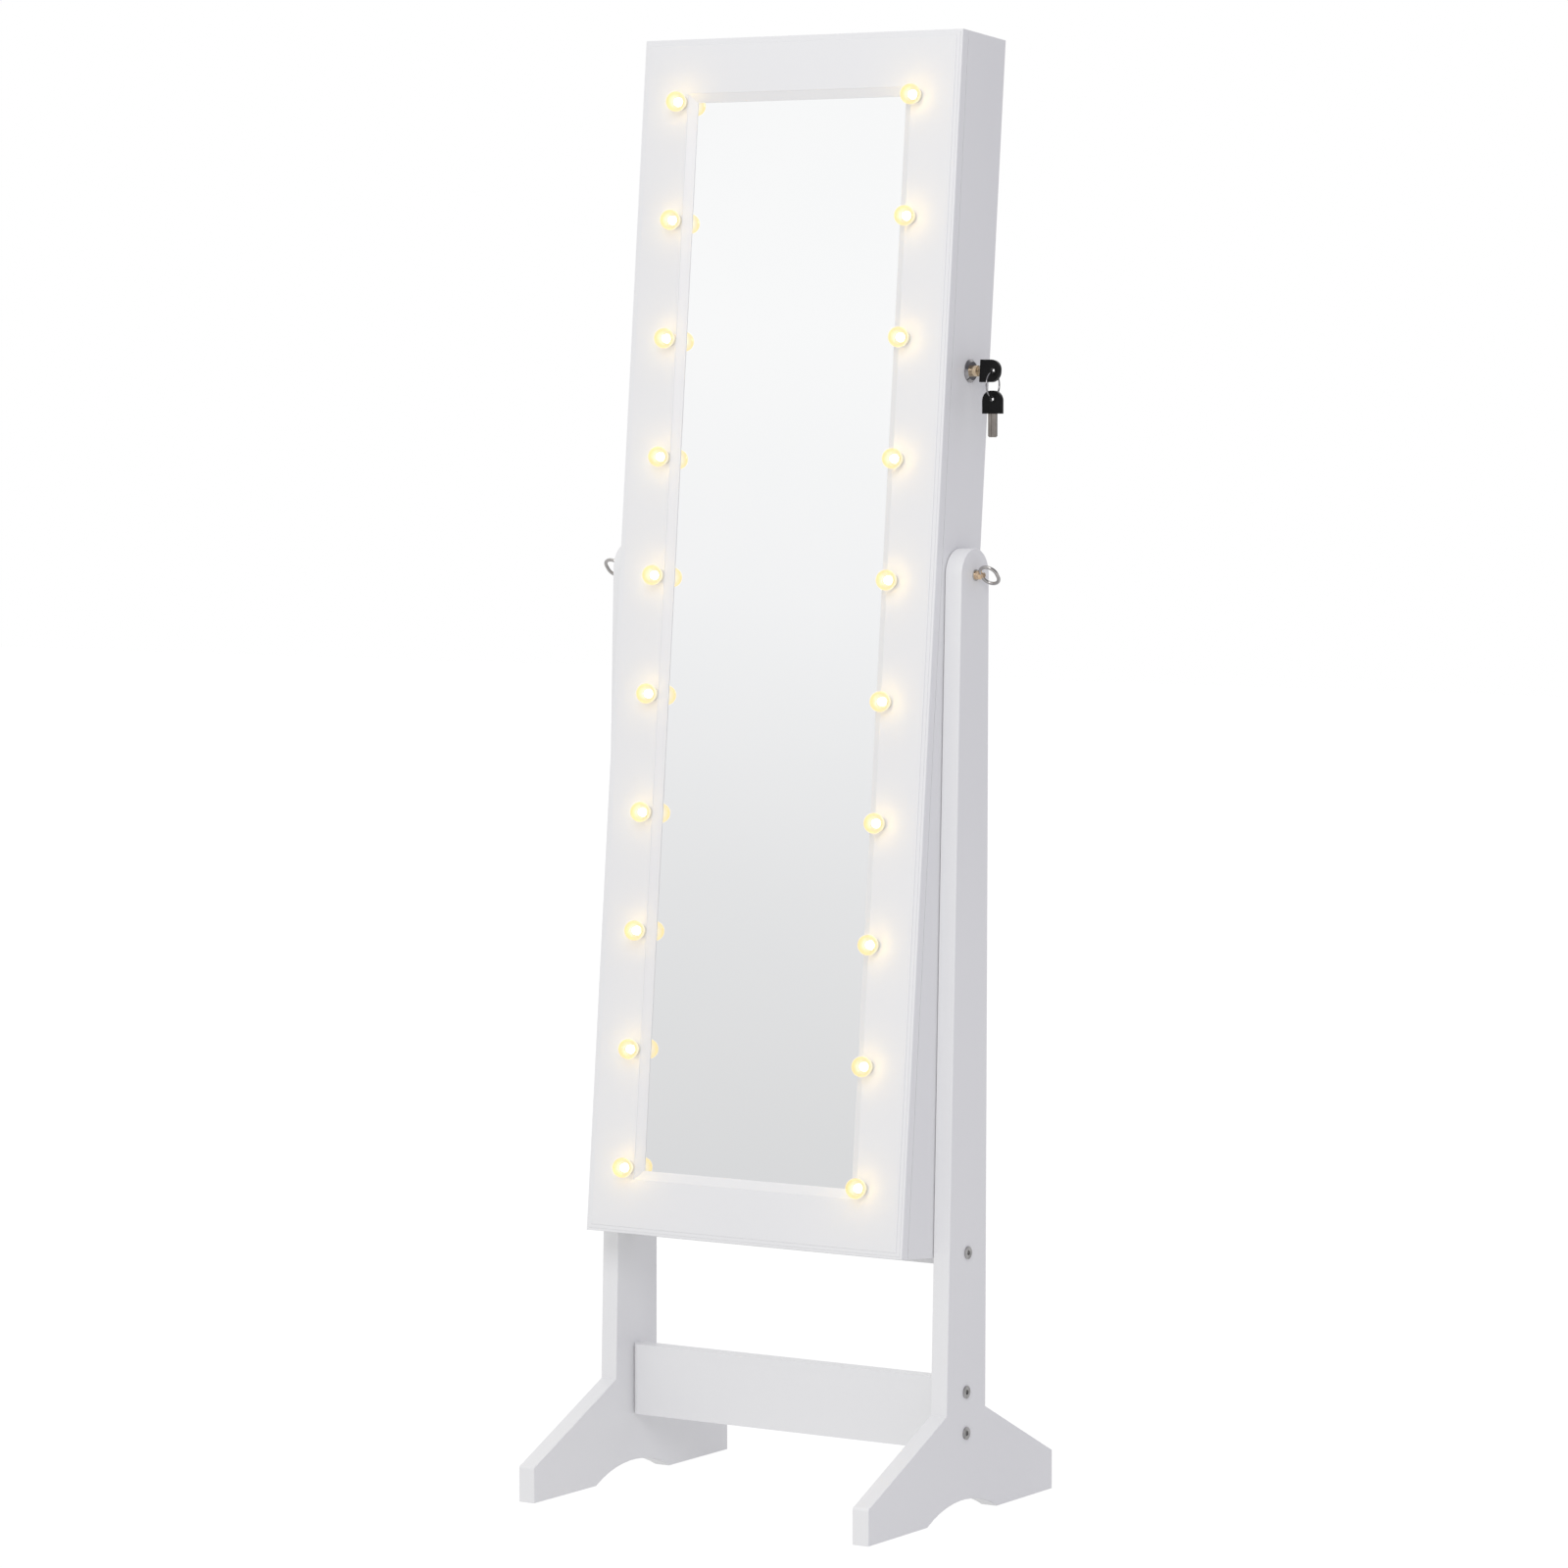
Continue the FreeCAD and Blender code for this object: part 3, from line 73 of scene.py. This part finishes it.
# Edges of the copies that stand in for boards and door members
MERGE_DISTANCE = 4e-6
FLAT_ANGLE = math.radians(0.4)
SHARP_ANGLE = math.radians(28)
EASE_SEGMENTS = 2
BOARD_EASE = 0.0007
MOULDING_EASE = 0.00015

# Ring cushion: its rolls, and in millimetres how it is taken in, held and filled
ROLLS = 7
TAKEN_IN = 0.9
MOST_SWELL = 1.4
BACK_HELD = 2.5
SLIT_HELD = 1.3
SLIT_DEPTH = 11
SKIN_VOXEL = 0.0031
FILL_PRESSURE = 4
FILL_STEPS = 20


def case(x, v, w):
    """A point of the leaning case in metres.

    x is to the right, v to the back and w up, in millimetres from the pivot.
    """
    return PIVOT + MM * Vector((
        x,
        v * math.cos(LEAN) + w * math.sin(LEAN),
        w * math.cos(LEAN) - v * math.sin(LEAN)))


def case_way(x, v, w):
    """A direction of the leaning case."""
    return (case(x, v, w) - PIVOT).normalized()


def case_place(point):
    """v and w, in millimetres, of a point in the leaning case."""
    y, z = (point.y - PIVOT.y) / MM, (point.z - PIVOT.z) / MM
    return y * math.cos(LEAN) - z * math.sin(LEAN), y * math.sin(LEAN) + z * math.cos(LEAN)


# Node trees

class Wire:
    """A value in a node tree; arithmetic on it adds Math nodes."""

    def __init__(self, tree, socket):
        self.tree = tree
        self.socket = socket

    def beside(self, output):
        """Another output of the same node."""
        return Wire(self.tree, self.socket.node.outputs[output])

    def math(self, operation, *values):
        return self.tree.node("ShaderNodeMath", {"operation": operation}, dict(enumerate(values)))

    def __add__(self, other):
        return self.math("ADD", self, other)

    def __radd__(self, other):
        return self.math("ADD", other, self)

    def __sub__(self, other):
        return self.math("SUBTRACT", self, other)

    def __rsub__(self, other):
        return self.math("SUBTRACT", other, self)

    def __mul__(self, other):
        return self.math("MULTIPLY", self, other)

    def __pow__(self, other):
        return self.math("POWER", self, other)

    def __abs__(self):
        return self.math("ABSOLUTE", self)

    def least(self, other):
        return self.math("MINIMUM", self, other)

    def most(self, other):
        return self.math("MAXIMUM", self, other)


class Nodes:
    """A node tree with one way to add a node: its type, its settings and its sockets."""

    def node(self, kind, settings=None, sockets=None, output=0):
        made = self.tree.nodes.new(kind)
        for name, value in (settings or {}).items():
            setattr(made, name, value)
        for name, value in (sockets or {}).items():
            for one in value if isinstance(value, list) else [value]:
                if isinstance(one, Wire):
                    self.tree.links.new(one.socket, made.inputs[name])
                else:
                    made.inputs[name].default_value = one
        return Wire(self, made.outputs[output]) if made.outputs else None


class Shader(Nodes):
    """The nodes of a material or a world."""

    def __init__(self, owner):
        owner.use_nodes = True
        self.tree = owner.node_tree
        self.tree.nodes.clear()

    def place(self):
        return self.node("ShaderNodeTexCoord", output="Object")

    def from_pivot(self):
        """The place's x, and its y and z from the pivot."""
        x = self.node("ShaderNodeSeparateXYZ", None, {"Vector": self.place()})
        return x, x.beside("Y") - PIVOT.y, x.beside("Z") - PIVOT.z

    def stretched(self, scale):
        return self.node("ShaderNodeMapping", None, {"Vector": self.place(), "Scale": scale})

    def noise(self, scale, detail=3, roughness=0.55, at=None):
        return self.node("ShaderNodeTexNoise", None, {
            "Vector": at or self.place(),
            "Scale": scale, "Detail": detail, "Roughness": roughness})

    def between(self, value, low, high):
        """A value's run from low to high as 0 to 1."""
        return self.node("ShaderNodeMapRange", {"clamp": True}, {
            "Value": value, "From Min": low, "From Max": high})

    def mixed(self, blend, share, first, second):
        first, second = (
            colour if isinstance(colour, Wire) else (*colour, 1) for colour in (first, second))
        return self.node("ShaderNodeMix", {"data_type": "RGBA", "blend_type": blend},
                         {"Factor": share, 6: first, 7: second}, output=2)

    def tint(self, share, first, second):
        return self.mixed("MIX", share, first, second)

    def ramp(self, value, stops):
        made = self.node("ShaderNodeValToRGB", None, {"Fac": value})
        elements = made.socket.node.color_ramp.elements
        while len(elements) < len(stops):
            elements.new(0.5)
        for element, (place, colour) in zip(elements, stops):
            element.position = place
            element.color = (*colour, 1)
        return made

    def bump(self, height, strength, distance):
        return self.node("ShaderNodeBump", None, {
            "Height": height, "Strength": strength, "Distance": distance})

    def finish(self, **sockets):
        """End in one Principled surface; underscores in a socket's name stand for spaces."""
        surface = self.node("ShaderNodeBsdfPrincipled", None, {
            name.replace("_", " "): value for name, value in sockets.items()})
        self.node("ShaderNodeOutputMaterial", None, {"Surface": surface})


class Grower(Nodes):
    """The nodes of a Geometry Nodes tree that works on points, with its own sizes."""

    def __init__(self, name, sizes):
        self.tree = bpy.data.node_groups.new(name, "GeometryNodeTree")
        ends = self.tree.interface
        ends.new_socket("Geometry", in_out="INPUT", socket_type="NodeSocketGeometry")
        self.keys = {}
        for label in sizes:
            socket = ends.new_socket(label, in_out="INPUT", socket_type="NodeSocketFloat")
            self.keys[label] = socket.identifier
        ends.new_socket("Geometry", in_out="OUTPUT", socket_type="NodeSocketGeometry")
        self.points = self.node("NodeGroupInput")

    def size(self, label):
        return self.points.beside(label)

    def vector(self, x, y, z):
        return self.node("ShaderNodeCombineXYZ", None, {"X": x, "Y": y, "Z": z})


# Finishes

finishes = {}


def grey(level):
    return (level, level, level)


def material(name):
    finishes[name] = bpy.data.materials.new(name)
    return Shader(finishes[name])


def white_lacquer():
    tree = material("white_lacquer")
    cloud = tree.between(tree.noise(2.2, detail=2), 0.35, 0.65)
    speck = tree.noise(620, detail=2, roughness=0.5)
    smear = tree.between(tree.noise(9, detail=4), 0.3, 0.7)
    tree.finish(
        Base_Color=tree.tint(cloud, (0.80, 0.80, 0.812), (0.825, 0.825, 0.833)),
        Roughness=0.34 + smear * 0.09,
        Coat_Weight=0.12, Coat_Roughness=0.22,
        Normal=tree.bump(speck, strength=0.05, distance=0.0002))


def back_board():
    tree = material("back_board")
    fibre = tree.noise(160, detail=5, roughness=0.7, at=tree.stretched((1, 1, 0.25)))
    blot = tree.between(tree.noise(14, detail=4), 0.35, 0.7)
    tree.finish(
        Base_Color=tree.tint(blot, grey(0.745), (0.77, 0.77, 0.765)),
        Roughness=0.55 + fibre * 0.12,
        Normal=tree.bump(fibre, strength=0.16, distance=0.0003))


def velvet(name, dark, light, grain):
    tree = material(name)
    nap = tree.noise(grain, detail=4, roughness=0.7)
    streak = tree.noise(18, detail=3, roughness=0.6, at=tree.stretched((1, 1, 0.4)))
    brushed = tree.between(streak, 0.36, 0.68)
    tree.finish(
        Base_Color=tree.tint(brushed * 0.7 + nap * 0.3, dark, light),
        Roughness=0.86 + nap * 0.1,
        Sheen_Weight=0.55, Sheen_Roughness=0.4, Sheen_Tint=(0.7, 0.7, 0.74, 1),
        Normal=tree.bump(nap, strength=0.4, distance=0.0004))


def mirror():
    tree = material("mirror")
    film = tree.between(tree.noise(5, detail=3), 0.4, 0.7)
    tree.finish(
        Base_Color=tree.tint(film, (0.955, 0.962, 0.965), (0.965, 0.968, 0.970)),
        Metallic=1.0,
        Roughness=0.006 + film * 0.006)


def globe_glass():
    """Thin amber glass round the light, with a painted glow in its emission.

    The glass is no lamp. Its painted glow is pale in the middle, where it stands in for the bright
    core seen through the glass, and deeper in colour towards the rim. At the foot it is painted
    pale, which makes its reflections in the mirror show white.
    """
    tree = material("globe_glass")
    _, y, z = tree.from_pivot()
    depth = y * math.cos(LEAN) - z * math.sin(LEAN)
    # Painted glow: paler towards the foot, so the globe's reflections in the mirror show white
    foot = tree.between(depth, GLOBE_MIDDLE, GLOBE_FOOT)
    facing = tree.node("ShaderNodeLayerWeight", None, {"Blend": 0.5}, output="Facing")
    rim = tree.between(facing, 0.10, 0.85)
    # Painted glow: a white-yellow core where the glass faces the eye, amber towards the rim
    glow = tree.ramp(facing, [
        (0.0, (1.0, 0.93, 0.70)),
        (0.08, (1.0, 0.90, 0.58)),
        (0.20, (0.95, 0.82, 0.40)),
        (0.60, (0.90, 0.72, 0.28)),
        (1.0, (0.76, 0.58, 0.22)),
    ])
    tree.finish(
        Base_Color=tree.tint(rim, (0.06, 0.04, 0.012), (0.05, 0.03, 0.01)),
        Roughness=0.05, IOR=1.45,
        Alpha=0.26 + rim * 0.34,
        # The emission here is painted glow on the glass; the chip inside is the lamp
        Emission_Color=tree.tint(foot * 0.75, glow, (1.0, 0.94, 0.80)),
        Emission_Strength=1.0)


def lamp_light():
    tree = material("lamp_light")
    hot = tree.between(tree.noise(400, detail=1), 0.3, 0.7)
    tree.finish(
        Base_Color=tree.tint(hot, (1.0, 0.92, 0.72), (1.0, 0.95, 0.80)),
        Roughness=0.4,
        Emission_Color=tree.tint(hot, (1.0, 0.68, 0.22), (1.0, 0.74, 0.30)),
        Emission_Strength=46.0)


def moulded(name, dark, light, rough, grain, depth, shine=0.5):
    tree = material(name)
    grit = tree.noise(grain, detail=3, roughness=0.6)
    patch = tree.between(tree.noise(40, detail=3), 0.35, 0.7)
    tree.finish(
        Base_Color=tree.tint(patch, dark, light),
        Roughness=rough + grit * 0.12,
        Specular_IOR_Level=shine,
        Normal=tree.bump(grit, depth, distance=0.0002))


def plated(name, dark, light, rough, grain=(1, 1, 1)):
    tree = material(name)
    brush = tree.noise(900, detail=3, roughness=0.6, at=tree.stretched(grain))
    tarnish = tree.between(tree.noise(120, detail=4), 0.38, 0.7)
    tree.finish(
        Base_Color=tree.tint(tarnish, light, dark),
        Metallic=1.0,
        Roughness=rough + brush * 0.12 + tarnish * 0.06,
        Normal=tree.bump(brush, strength=0.03, distance=0.0001))


def pivot_metal():
    """Bronze on the turned collar, nickel on the wire loop that goes through its neck."""
    tree = material("pivot_metal")
    x, y, z = tree.from_pivot()
    across = abs(x)
    reach = (y * y + z * z) ** 0.5
    outside = tree.between(across, NECK_END, NECK_END + METAL_BLEND)
    narrowing = (across.least(CONE_END) - CONE_START) * CONE_SLOPE
    off_cone = tree.between(
        reach + narrowing, CONE_RADIUS - METAL_BLEND, CONE_RADIUS + METAL_BLEND)
    off_collar = tree.between(across, COLLAR_END - METAL_BLEND, COLLAR_END + METAL_BLEND)
    loop = outside.most(off_cone * off_collar)
    turned = tree.noise(1500, detail=2, roughness=0.5, at=tree.stretched((1, 0.05, 0.05)))
    tarnish = tree.between(tree.noise(180, detail=4), 0.38, 0.7)
    bronze = tree.tint(tarnish, (0.86, 0.66, 0.46), (0.66, 0.48, 0.32))
    nickel = tree.tint(tarnish, (0.50, 0.48, 0.47), (0.38, 0.37, 0.36))
    tree.finish(
        Base_Color=tree.tint(loop, bronze, nickel),
        Metallic=1.0,
        Roughness=0.16 - loop * 0.06 + turned * 0.08,
        Normal=tree.bump(turned, strength=0.04, distance=0.0001))


white_lacquer()
back_board()
velvet("velvet", (0.012, 0.012, 0.014), (0.030, 0.030, 0.034), grain=1400)
velvet("flocked_board", (0.016, 0.016, 0.018), (0.034, 0.034, 0.037), grain=2200)
mirror()
globe_glass()
lamp_light()
pivot_metal()

moulded("lamp_plastic", (0.80, 0.76, 0.66), (0.86, 0.83, 0.74), rough=0.38, grain=1800, depth=0.05)
moulded("black_plastic", grey(0.003), grey(0.006), rough=0.22, grain=2600, depth=0.10, shine=0.16)
moulded("cell_wrap", (0.22, 0.23, 0.25), (0.28, 0.29, 0.31), rough=0.30, grain=900, depth=0.03)
moulded("nylon", (0.76, 0.76, 0.74), (0.82, 0.82, 0.80), rough=0.5, grain=1600, depth=0.06)
# Painted shade: near-black stands in for the shadow inside a screw's crossed recess
moulded("recess", grey(0.03), grey(0.05), rough=0.5, grain=900, depth=0.05)

plated("nickel", (0.50, 0.49, 0.48), (0.68, 0.67, 0.65), rough=0.16)
plated("steel", (0.30, 0.29, 0.28), (0.44, 0.43, 0.42), rough=0.24)
plated("bolt_steel", (0.26, 0.255, 0.25), (0.46, 0.45, 0.45), rough=0.10)
plated("dark_chrome", (0.26, 0.25, 0.26), (0.36, 0.35, 0.36), rough=0.04)
plated("bronze", (0.30, 0.22, 0.14), (0.46, 0.35, 0.22), rough=0.3)
plated("brass", (0.74, 0.56, 0.36), (0.92, 0.76, 0.54), rough=0.14)
plated("key_steel", (0.26, 0.235, 0.21), (0.36, 0.33, 0.30), rough=0.26, grain=(1, 1, 0.1))

# Pieces


def dressed(piece, finish):
    piece.data.materials.clear()
    piece.data.materials.append(finishes[finish])


def shown(name, data):
    piece = bpy.data.objects.new(name, data)
    scene.collection.objects.link(piece)
    return piece


def ridden(piece, body):
    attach(piece, body)


def settled(piece):
    """Work the piece's modifiers into a plain mesh."""
    seen = piece.evaluated_get(bpy.context.evaluated_depsgraph_get())
    mesh = bpy.data.meshes.new_from_object(seen)
    piece.modifiers.clear()
    piece.data = mesh
    mesh.name = piece.name


def smoothed(mesh):
    mesh.polygons.foreach_set("use_smooth", [True] * len(mesh.polygons))


def welded(name):
    """A node's form to work on, with its doubled corners joined."""
    form = bmesh.new()
    form.from_mesh(nodes[name].data)
    bmesh.ops.remove_doubles(form, verts=form.verts, dist=MERGE_DISTANCE)
    return form


def formed(name, form):
    mesh = bpy.data.meshes.new(name)
    form.to_mesh(mesh)
    form.free()
    return shown(name, mesh)


def dress_nodes():
    """CAD nodes in the finish of their slot, or in a closer one."""
    closer = {
        "left_pivot_bolt": "pivot_metal", "right_pivot_bolt": "pivot_metal",
        "key_blade": "key_steel", "spare_key_blade": "key_steel",
        "stand_bolts": "bolt_steel",
        "lock_housing": "dark_chrome", "key_ring": "dark_chrome",
    }
    for name, node in nodes.items():
        dressed(node, closer.get(name, slot_of[name]))


def ease(name, width):
    """Show a copy of a node with its sharp edges eased, in the node's place."""
    form = welded(name)
    bmesh.ops.dissolve_limit(form, angle_limit=FLAT_ANGLE, verts=form.verts, edges=form.edges)
    piece = formed(name + "_eased", form)
    mesh = piece.data
    for layer in [layer for layer in mesh.attributes if "normal" in layer.name]:
        mesh.attributes.remove(layer)
    smoothed(mesh)
    mesh.set_sharp_from_angle(angle=SHARP_ANGLE)
    rounding = piece.modifiers.new("rounding", "BEVEL")
    rounding.width = width
    rounding.segments = EASE_SEGMENTS
    rounding.limit_method = "ANGLE"
    rounding.angle_limit = SHARP_ANGLE
    rounding.harden_normals = True
    settled(piece)
    dressed(piece, slot_of[name])
    ridden(piece, body_of[name])
    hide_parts(name)


def make_ring_cushion():
    """The CAD rolls taken a little smaller, then filled until they swell between the slits."""
    form = welded("ring_cushion")
    form.normal_update()
    for vert in form.verts:
        vert.co -= vert.normal * TAKEN_IN * MM
    cushion = formed("ring_roll_cushion", form)
    skin = cushion.modifiers.new("skin", "REMESH")
    skin.mode = "VOXEL"
    skin.voxel_size = SKIN_VOXEL
    settled(cushion)
    fill_cushion(cushion)
    smooth = cushion.modifiers.new("smooth", "SUBSURF")
    smooth.levels = smooth.render_levels = 1
    settled(cushion)
    smoothed(cushion.data)
    dressed(cushion, "velvet")
    ridden(cushion, "cabinet")
    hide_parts("ring_cushion")


def fill_cushion(cushion):
    """Cloth under pressure, held along its back and in the slits between the rolls."""
    before = [vert.co.copy() for vert in cushion.data.vertices]
    places = [case_place(point) for point in before]
    rear = max(v for v, _ in places)
    low, high = min(w for _, w in places), max(w for _, w in places)
    pitch = (high - low) / ROLLS
    held = cushion.vertex_groups.new(name="held")
    for index, (v, w) in enumerate(places):
        off_slit = abs((w - low + pitch / 2) % pitch - pitch / 2)
        if v > rear - BACK_HELD or (off_slit < SLIT_HELD and v > rear - SLIT_DEPTH):
            held.add([index], 1.0, "REPLACE")
    cloth = cushion.modifiers.new("filling", "CLOTH")
    cloth.settings.use_pressure = True
    cloth.settings.uniform_pressure_force = FILL_PRESSURE
    cloth.settings.effector_weights.gravity = 0
    cloth.settings.vertex_group_mass = "held"
    for step in range(1, FILL_STEPS + 1):
        scene.frame_set(step)
    filled = cushion.evaluated_get(bpy.context.evaluated_depsgraph_get()).data
    after = [vert.co.copy() for vert in filled.vertices]
    cushion.modifiers.clear()
    scene.frame_set(1)
    for vert, old, new in zip(cushion.data.vertices, before, after):
        move = new - old
        vert.co = old + move * min(1.0, MOST_SWELL * MM / max(move.length, 1e-9))


# Small screws and brads, grown by one tree on points that carry their direction


def screw_tree():
    """A low turned head with a crossed recess drawn as thin dark bars of painted shade, along each
    point's own direction.
    """
    sides, top_share = 20, 0.78
    bar_length, bar_width, bar_depth = 2.0, 0.42, 0.1
    tree = Grower("small_screws", ("Radius", "Height", "Recess"))
    radius, height, recess = tree.size("Radius"), tree.size("Height"), tree.size("Recess")

    def finished(form, finish):
        return tree.node("GeometryNodeSetMaterial", None, {
            "Geometry": form, "Material": finishes[finish]})

    head = tree.node("GeometryNodeMeshCone", {"fill_type": "NGON"}, {
        "Vertices": sides, "Radius Top": radius * top_share, "Radius Bottom": radius,
        "Depth": height})
    parts = [finished(head, "nickel")]
    # The recess is no hollow: two thin bars on the head carry its painted shade
    for along_x, along_y in ((bar_length, bar_width), (bar_width, bar_length)):
        size = tree.vector(recess * along_x, recess * along_y, height * bar_depth)
        bar = tree.node("GeometryNodeMeshCube", None, {"Size": size})
        bar = tree.node("GeometryNodeTransform", None, {
            "Geometry": bar, "Translation": tree.vector(0.0, 0.0, height)})
        parts.append(finished(bar, "recess"))
    whole = tree.node("GeometryNodeJoinGeometry", None, {"Geometry": parts})
    way = tree.node("GeometryNodeInputNamedAttribute", {"data_type": "FLOAT_VECTOR"}, {
        "Name": "way"})
    turned = tree.node("FunctionNodeAlignRotationToVector", {"axis": "Z"}, {"Vector": way})
    grown = tree.node("GeometryNodeInstanceOnPoints", None, {
        "Points": tree.points, "Instance": whole, "Rotation": turned})
    grown = tree.node("GeometryNodeRealizeInstances", None, {"Geometry": grown})
    tree.node("NodeGroupOutput", None, {"Geometry": grown})
    return tree


def set_screws(tree, name, body, spots, radius, height, recess):
    """Screws at spots, each a place and a direction of the leaning case; millimetres."""
    mesh = bpy.data.meshes.new(name)
    mesh.from_pydata([case(*place) for place, _ in spots], [], [])
    ways = mesh.attributes.new("way", "FLOAT_VECTOR", "POINT")
    ways.data.foreach_set("vector", [number for _, way in spots for number in case_way(*way)])
    screws = shown(name, mesh)
    growing = screws.modifiers.new("growing", "NODES")
    growing.node_group = tree.tree
    for label, value in (("Radius", radius), ("Height", height), ("Recess", recess)):
        growing[tree.keys[label]] = value * MM
    settled(screws)
    ridden(screws, body)


def spread(first, last, count):
    return [first + (last - first) * step / (count - 1) for step in range(count)]


def make_screws():
    tree = screw_tree()
    back, front = (0, 1, 0), (0, -1, 0)

    hinge_x, case_leaf, door_leaf = -181.3, -31.0, -31.6
    heights = [middle + step for middle in (400, 60, -560.0) for step in (-16, 0, 16)]
    set_screws(tree, "case_leaf_screws", "cabinet",
               [((hinge_x, case_leaf, w), front) for w in heights],
               radius=2.1, height=0.16, recess=0.9)
    set_screws(tree, "door_leaf_screws", "door",
               [((hinge_x, door_leaf, w), back) for w in heights],
               radius=2.1, height=0.16, recess=0.9)

    strike_x, strike_face, battery_face = 161.2, -20.6, -0.6
    strike = [((strike_x, strike_face, w), back) for w in (172.0, 181.0)]
    battery = [((x, battery_face, w), back) for x in (-30.5, 30.5) for w in (457.5, 506.5)]
    set_screws(tree, "door_fitting_screws", "door", strike + battery,
               radius=2.0, height=0.5, recess=0.85)

    panel_x, panel_face = 169.7, 12.9
    panel = [((x, panel_face, w), front)
             for x in (-panel_x, panel_x) for w in (-204.0, -138.7, -74.0)]
    socket_x, rod_v, rod_w, socket_step = 165.7, 7.9, -277.7, 10.6
    sockets = [((x, rod_v, rod_w + step), (-x, 0, 0))
               for x in (-socket_x, socket_x) for step in (-socket_step, socket_step)]
    set_screws(tree, "case_fitting_screws", "cabinet", panel + sockets,
               radius=1.9, height=0.5, recess=0.8)

    back_face, edge_x = 39.4, 177.5
    brads = [(x, w) for x in (-edge_x, edge_x) for w in spread(-648, 508, 11)]
    brads += [(x, w) for w in (-661.2, 521.2) for x in spread(-150, 150, 4)]
    set_screws(tree, "back_brads", "cabinet",
               [((x, back_face, w), back) for x, w in brads],
               radius=1.7, height=0.5, recess=0.0)


# Floor, light and camera


def make_floor():
    """A light table under white paper.

    It glows up at the feet and shows only a trace of the shadows.
    """
    reach = 14
    mesh = bpy.data.meshes.new("floor")
    mesh.from_pydata(
        [(-reach, -reach, 0), (reach, -reach, 0), (reach, reach, 0), (-reach, reach, 0)],
        [], [(0, 1, 2, 3)])
    floor = shown("floor", mesh)
    paper = bpy.data.materials.new("floor_paper")
    tree = Shader(paper)
    seen = tree.node("ShaderNodeLightPath", output="Is Camera Ray")
    soft = tree.between(tree.noise(0.8, detail=2), 0.3, 0.7)
    thrown = tree.tint(soft, grey(0.22), grey(0.24))
    tree.finish(
        Base_Color=tree.tint(seen, thrown, grey(0.09)),
        Roughness=0.9, Specular_IOR_Level=0.0,
        Emission_Color=tree.tint(seen, grey(0.59), grey(0.96)),
        Emission_Strength=1.0)
    mesh.materials.append(paper)


def make_world():
    """White to the eye, and a soft room that grows brighter upwards.

    At the right it is darker, and for the shine there is a dark screen, left open low in front.
    """
    world = bpy.data.worlds.new("studio")
    scene.world = world
    tree = Shader(world)
    way = tree.node("ShaderNodeTexCoord", output="Generated")
    right = tree.node("ShaderNodeSeparateXYZ", None, {"Vector": way})
    up = right.beside("Z")
    rise = tree.ramp(up, [
        (0.0, (0.70, 0.70, 0.71)),
        (0.026, (0.735, 0.735, 0.74)),
        (0.066, (0.80, 0.80, 0.805)),
        (0.117, (0.92, 0.92, 0.925)),
        (0.165, (0.98, 0.98, 0.98)),
        (0.5, (0.95, 0.95, 0.955)),
        (1.0, (1.2, 1.2, 1.2)),
    ])
    share = right * 0.5 + 0.5
    soft_side = tree.ramp(share, [
        (0.0, (0.88, 0.88, 0.87)),
        (0.5, (0.74, 0.74, 0.735)),
        (0.72, (0.78, 0.78, 0.79)),
        (0.86, (0.58, 0.57, 0.635)),
        (1.0, (0.25, 0.235, 0.35)),
    ])
    shine_side = tree.ramp(share, [
        (0.0, WHITE),
        (0.56, WHITE),
        (0.70, (0.34, 0.34, 0.36)),
        (1.0, (0.20, 0.20, 0.22)),
    ])
    behind = tree.between(right.beside("Y"), -0.30, 0.0)
    low_screen = tree.tint(behind, WHITE, shine_side)
    screen = tree.tint(tree.between(up, 0.02, 0.30), low_screen, shine_side)
    glossy = tree.node("ShaderNodeLightPath", output="Is Glossy Ray")
    side = tree.tint(glossy, soft_side, screen)
    light = tree.mixed("MULTIPLY", 1.0, rise, side)
    sky = tree.tint(glossy.beside("Is Camera Ray"), light, WHITE)
    shade = tree.node("ShaderNodeBackground", None, {"Color": sky, "Strength": 1.0})
    tree.node("ShaderNodeOutputWorld", None, {"Surface": shade})


def make_key_light():
    """A large soft box in front, high and to the right."""
    lamp = bpy.data.lights.new("soft_box", "AREA")
    lamp.size = 2.2
    lamp.energy = 84
    box = shown("soft_box", lamp)
    box.location = (1.9, -4.6, 3.4)
    aim = Vector((0, 0, 0.9)) - Vector(box.location)
    box.rotation_euler = aim.to_track_quat("-Z", "Y").to_euler()


def make_camera():
    looking_down, turned_left = 3.96, 32.96
    lens = bpy.data.cameras.new("camera")
    lens.sensor_width = 36
    lens.lens = 131.47
    lens.shift_x = 0.00479
    lens.clip_end = 60
    camera = shown("camera", lens)
    camera.location = (3.08962, -4.78454, 1.11091)
    camera.rotation_euler = (math.radians(90 - looking_down), 0, math.radians(turned_left))
    scene.camera = camera


dress_nodes()
for board in ("left_side", "right_side", "top_panel", "bottom_panel"):
    ease(board, BOARD_EASE)
for member in ("front_rail", "stop_bar",
               "door_left_stile", "door_right_stile", "door_top_rail", "door_bottom_rail"):
    ease(member, MOULDING_EASE)
make_ring_cushion()
make_screws()
make_floor()
make_world()
make_key_light()
make_camera()
scene.view_settings.view_transform = "Standard"
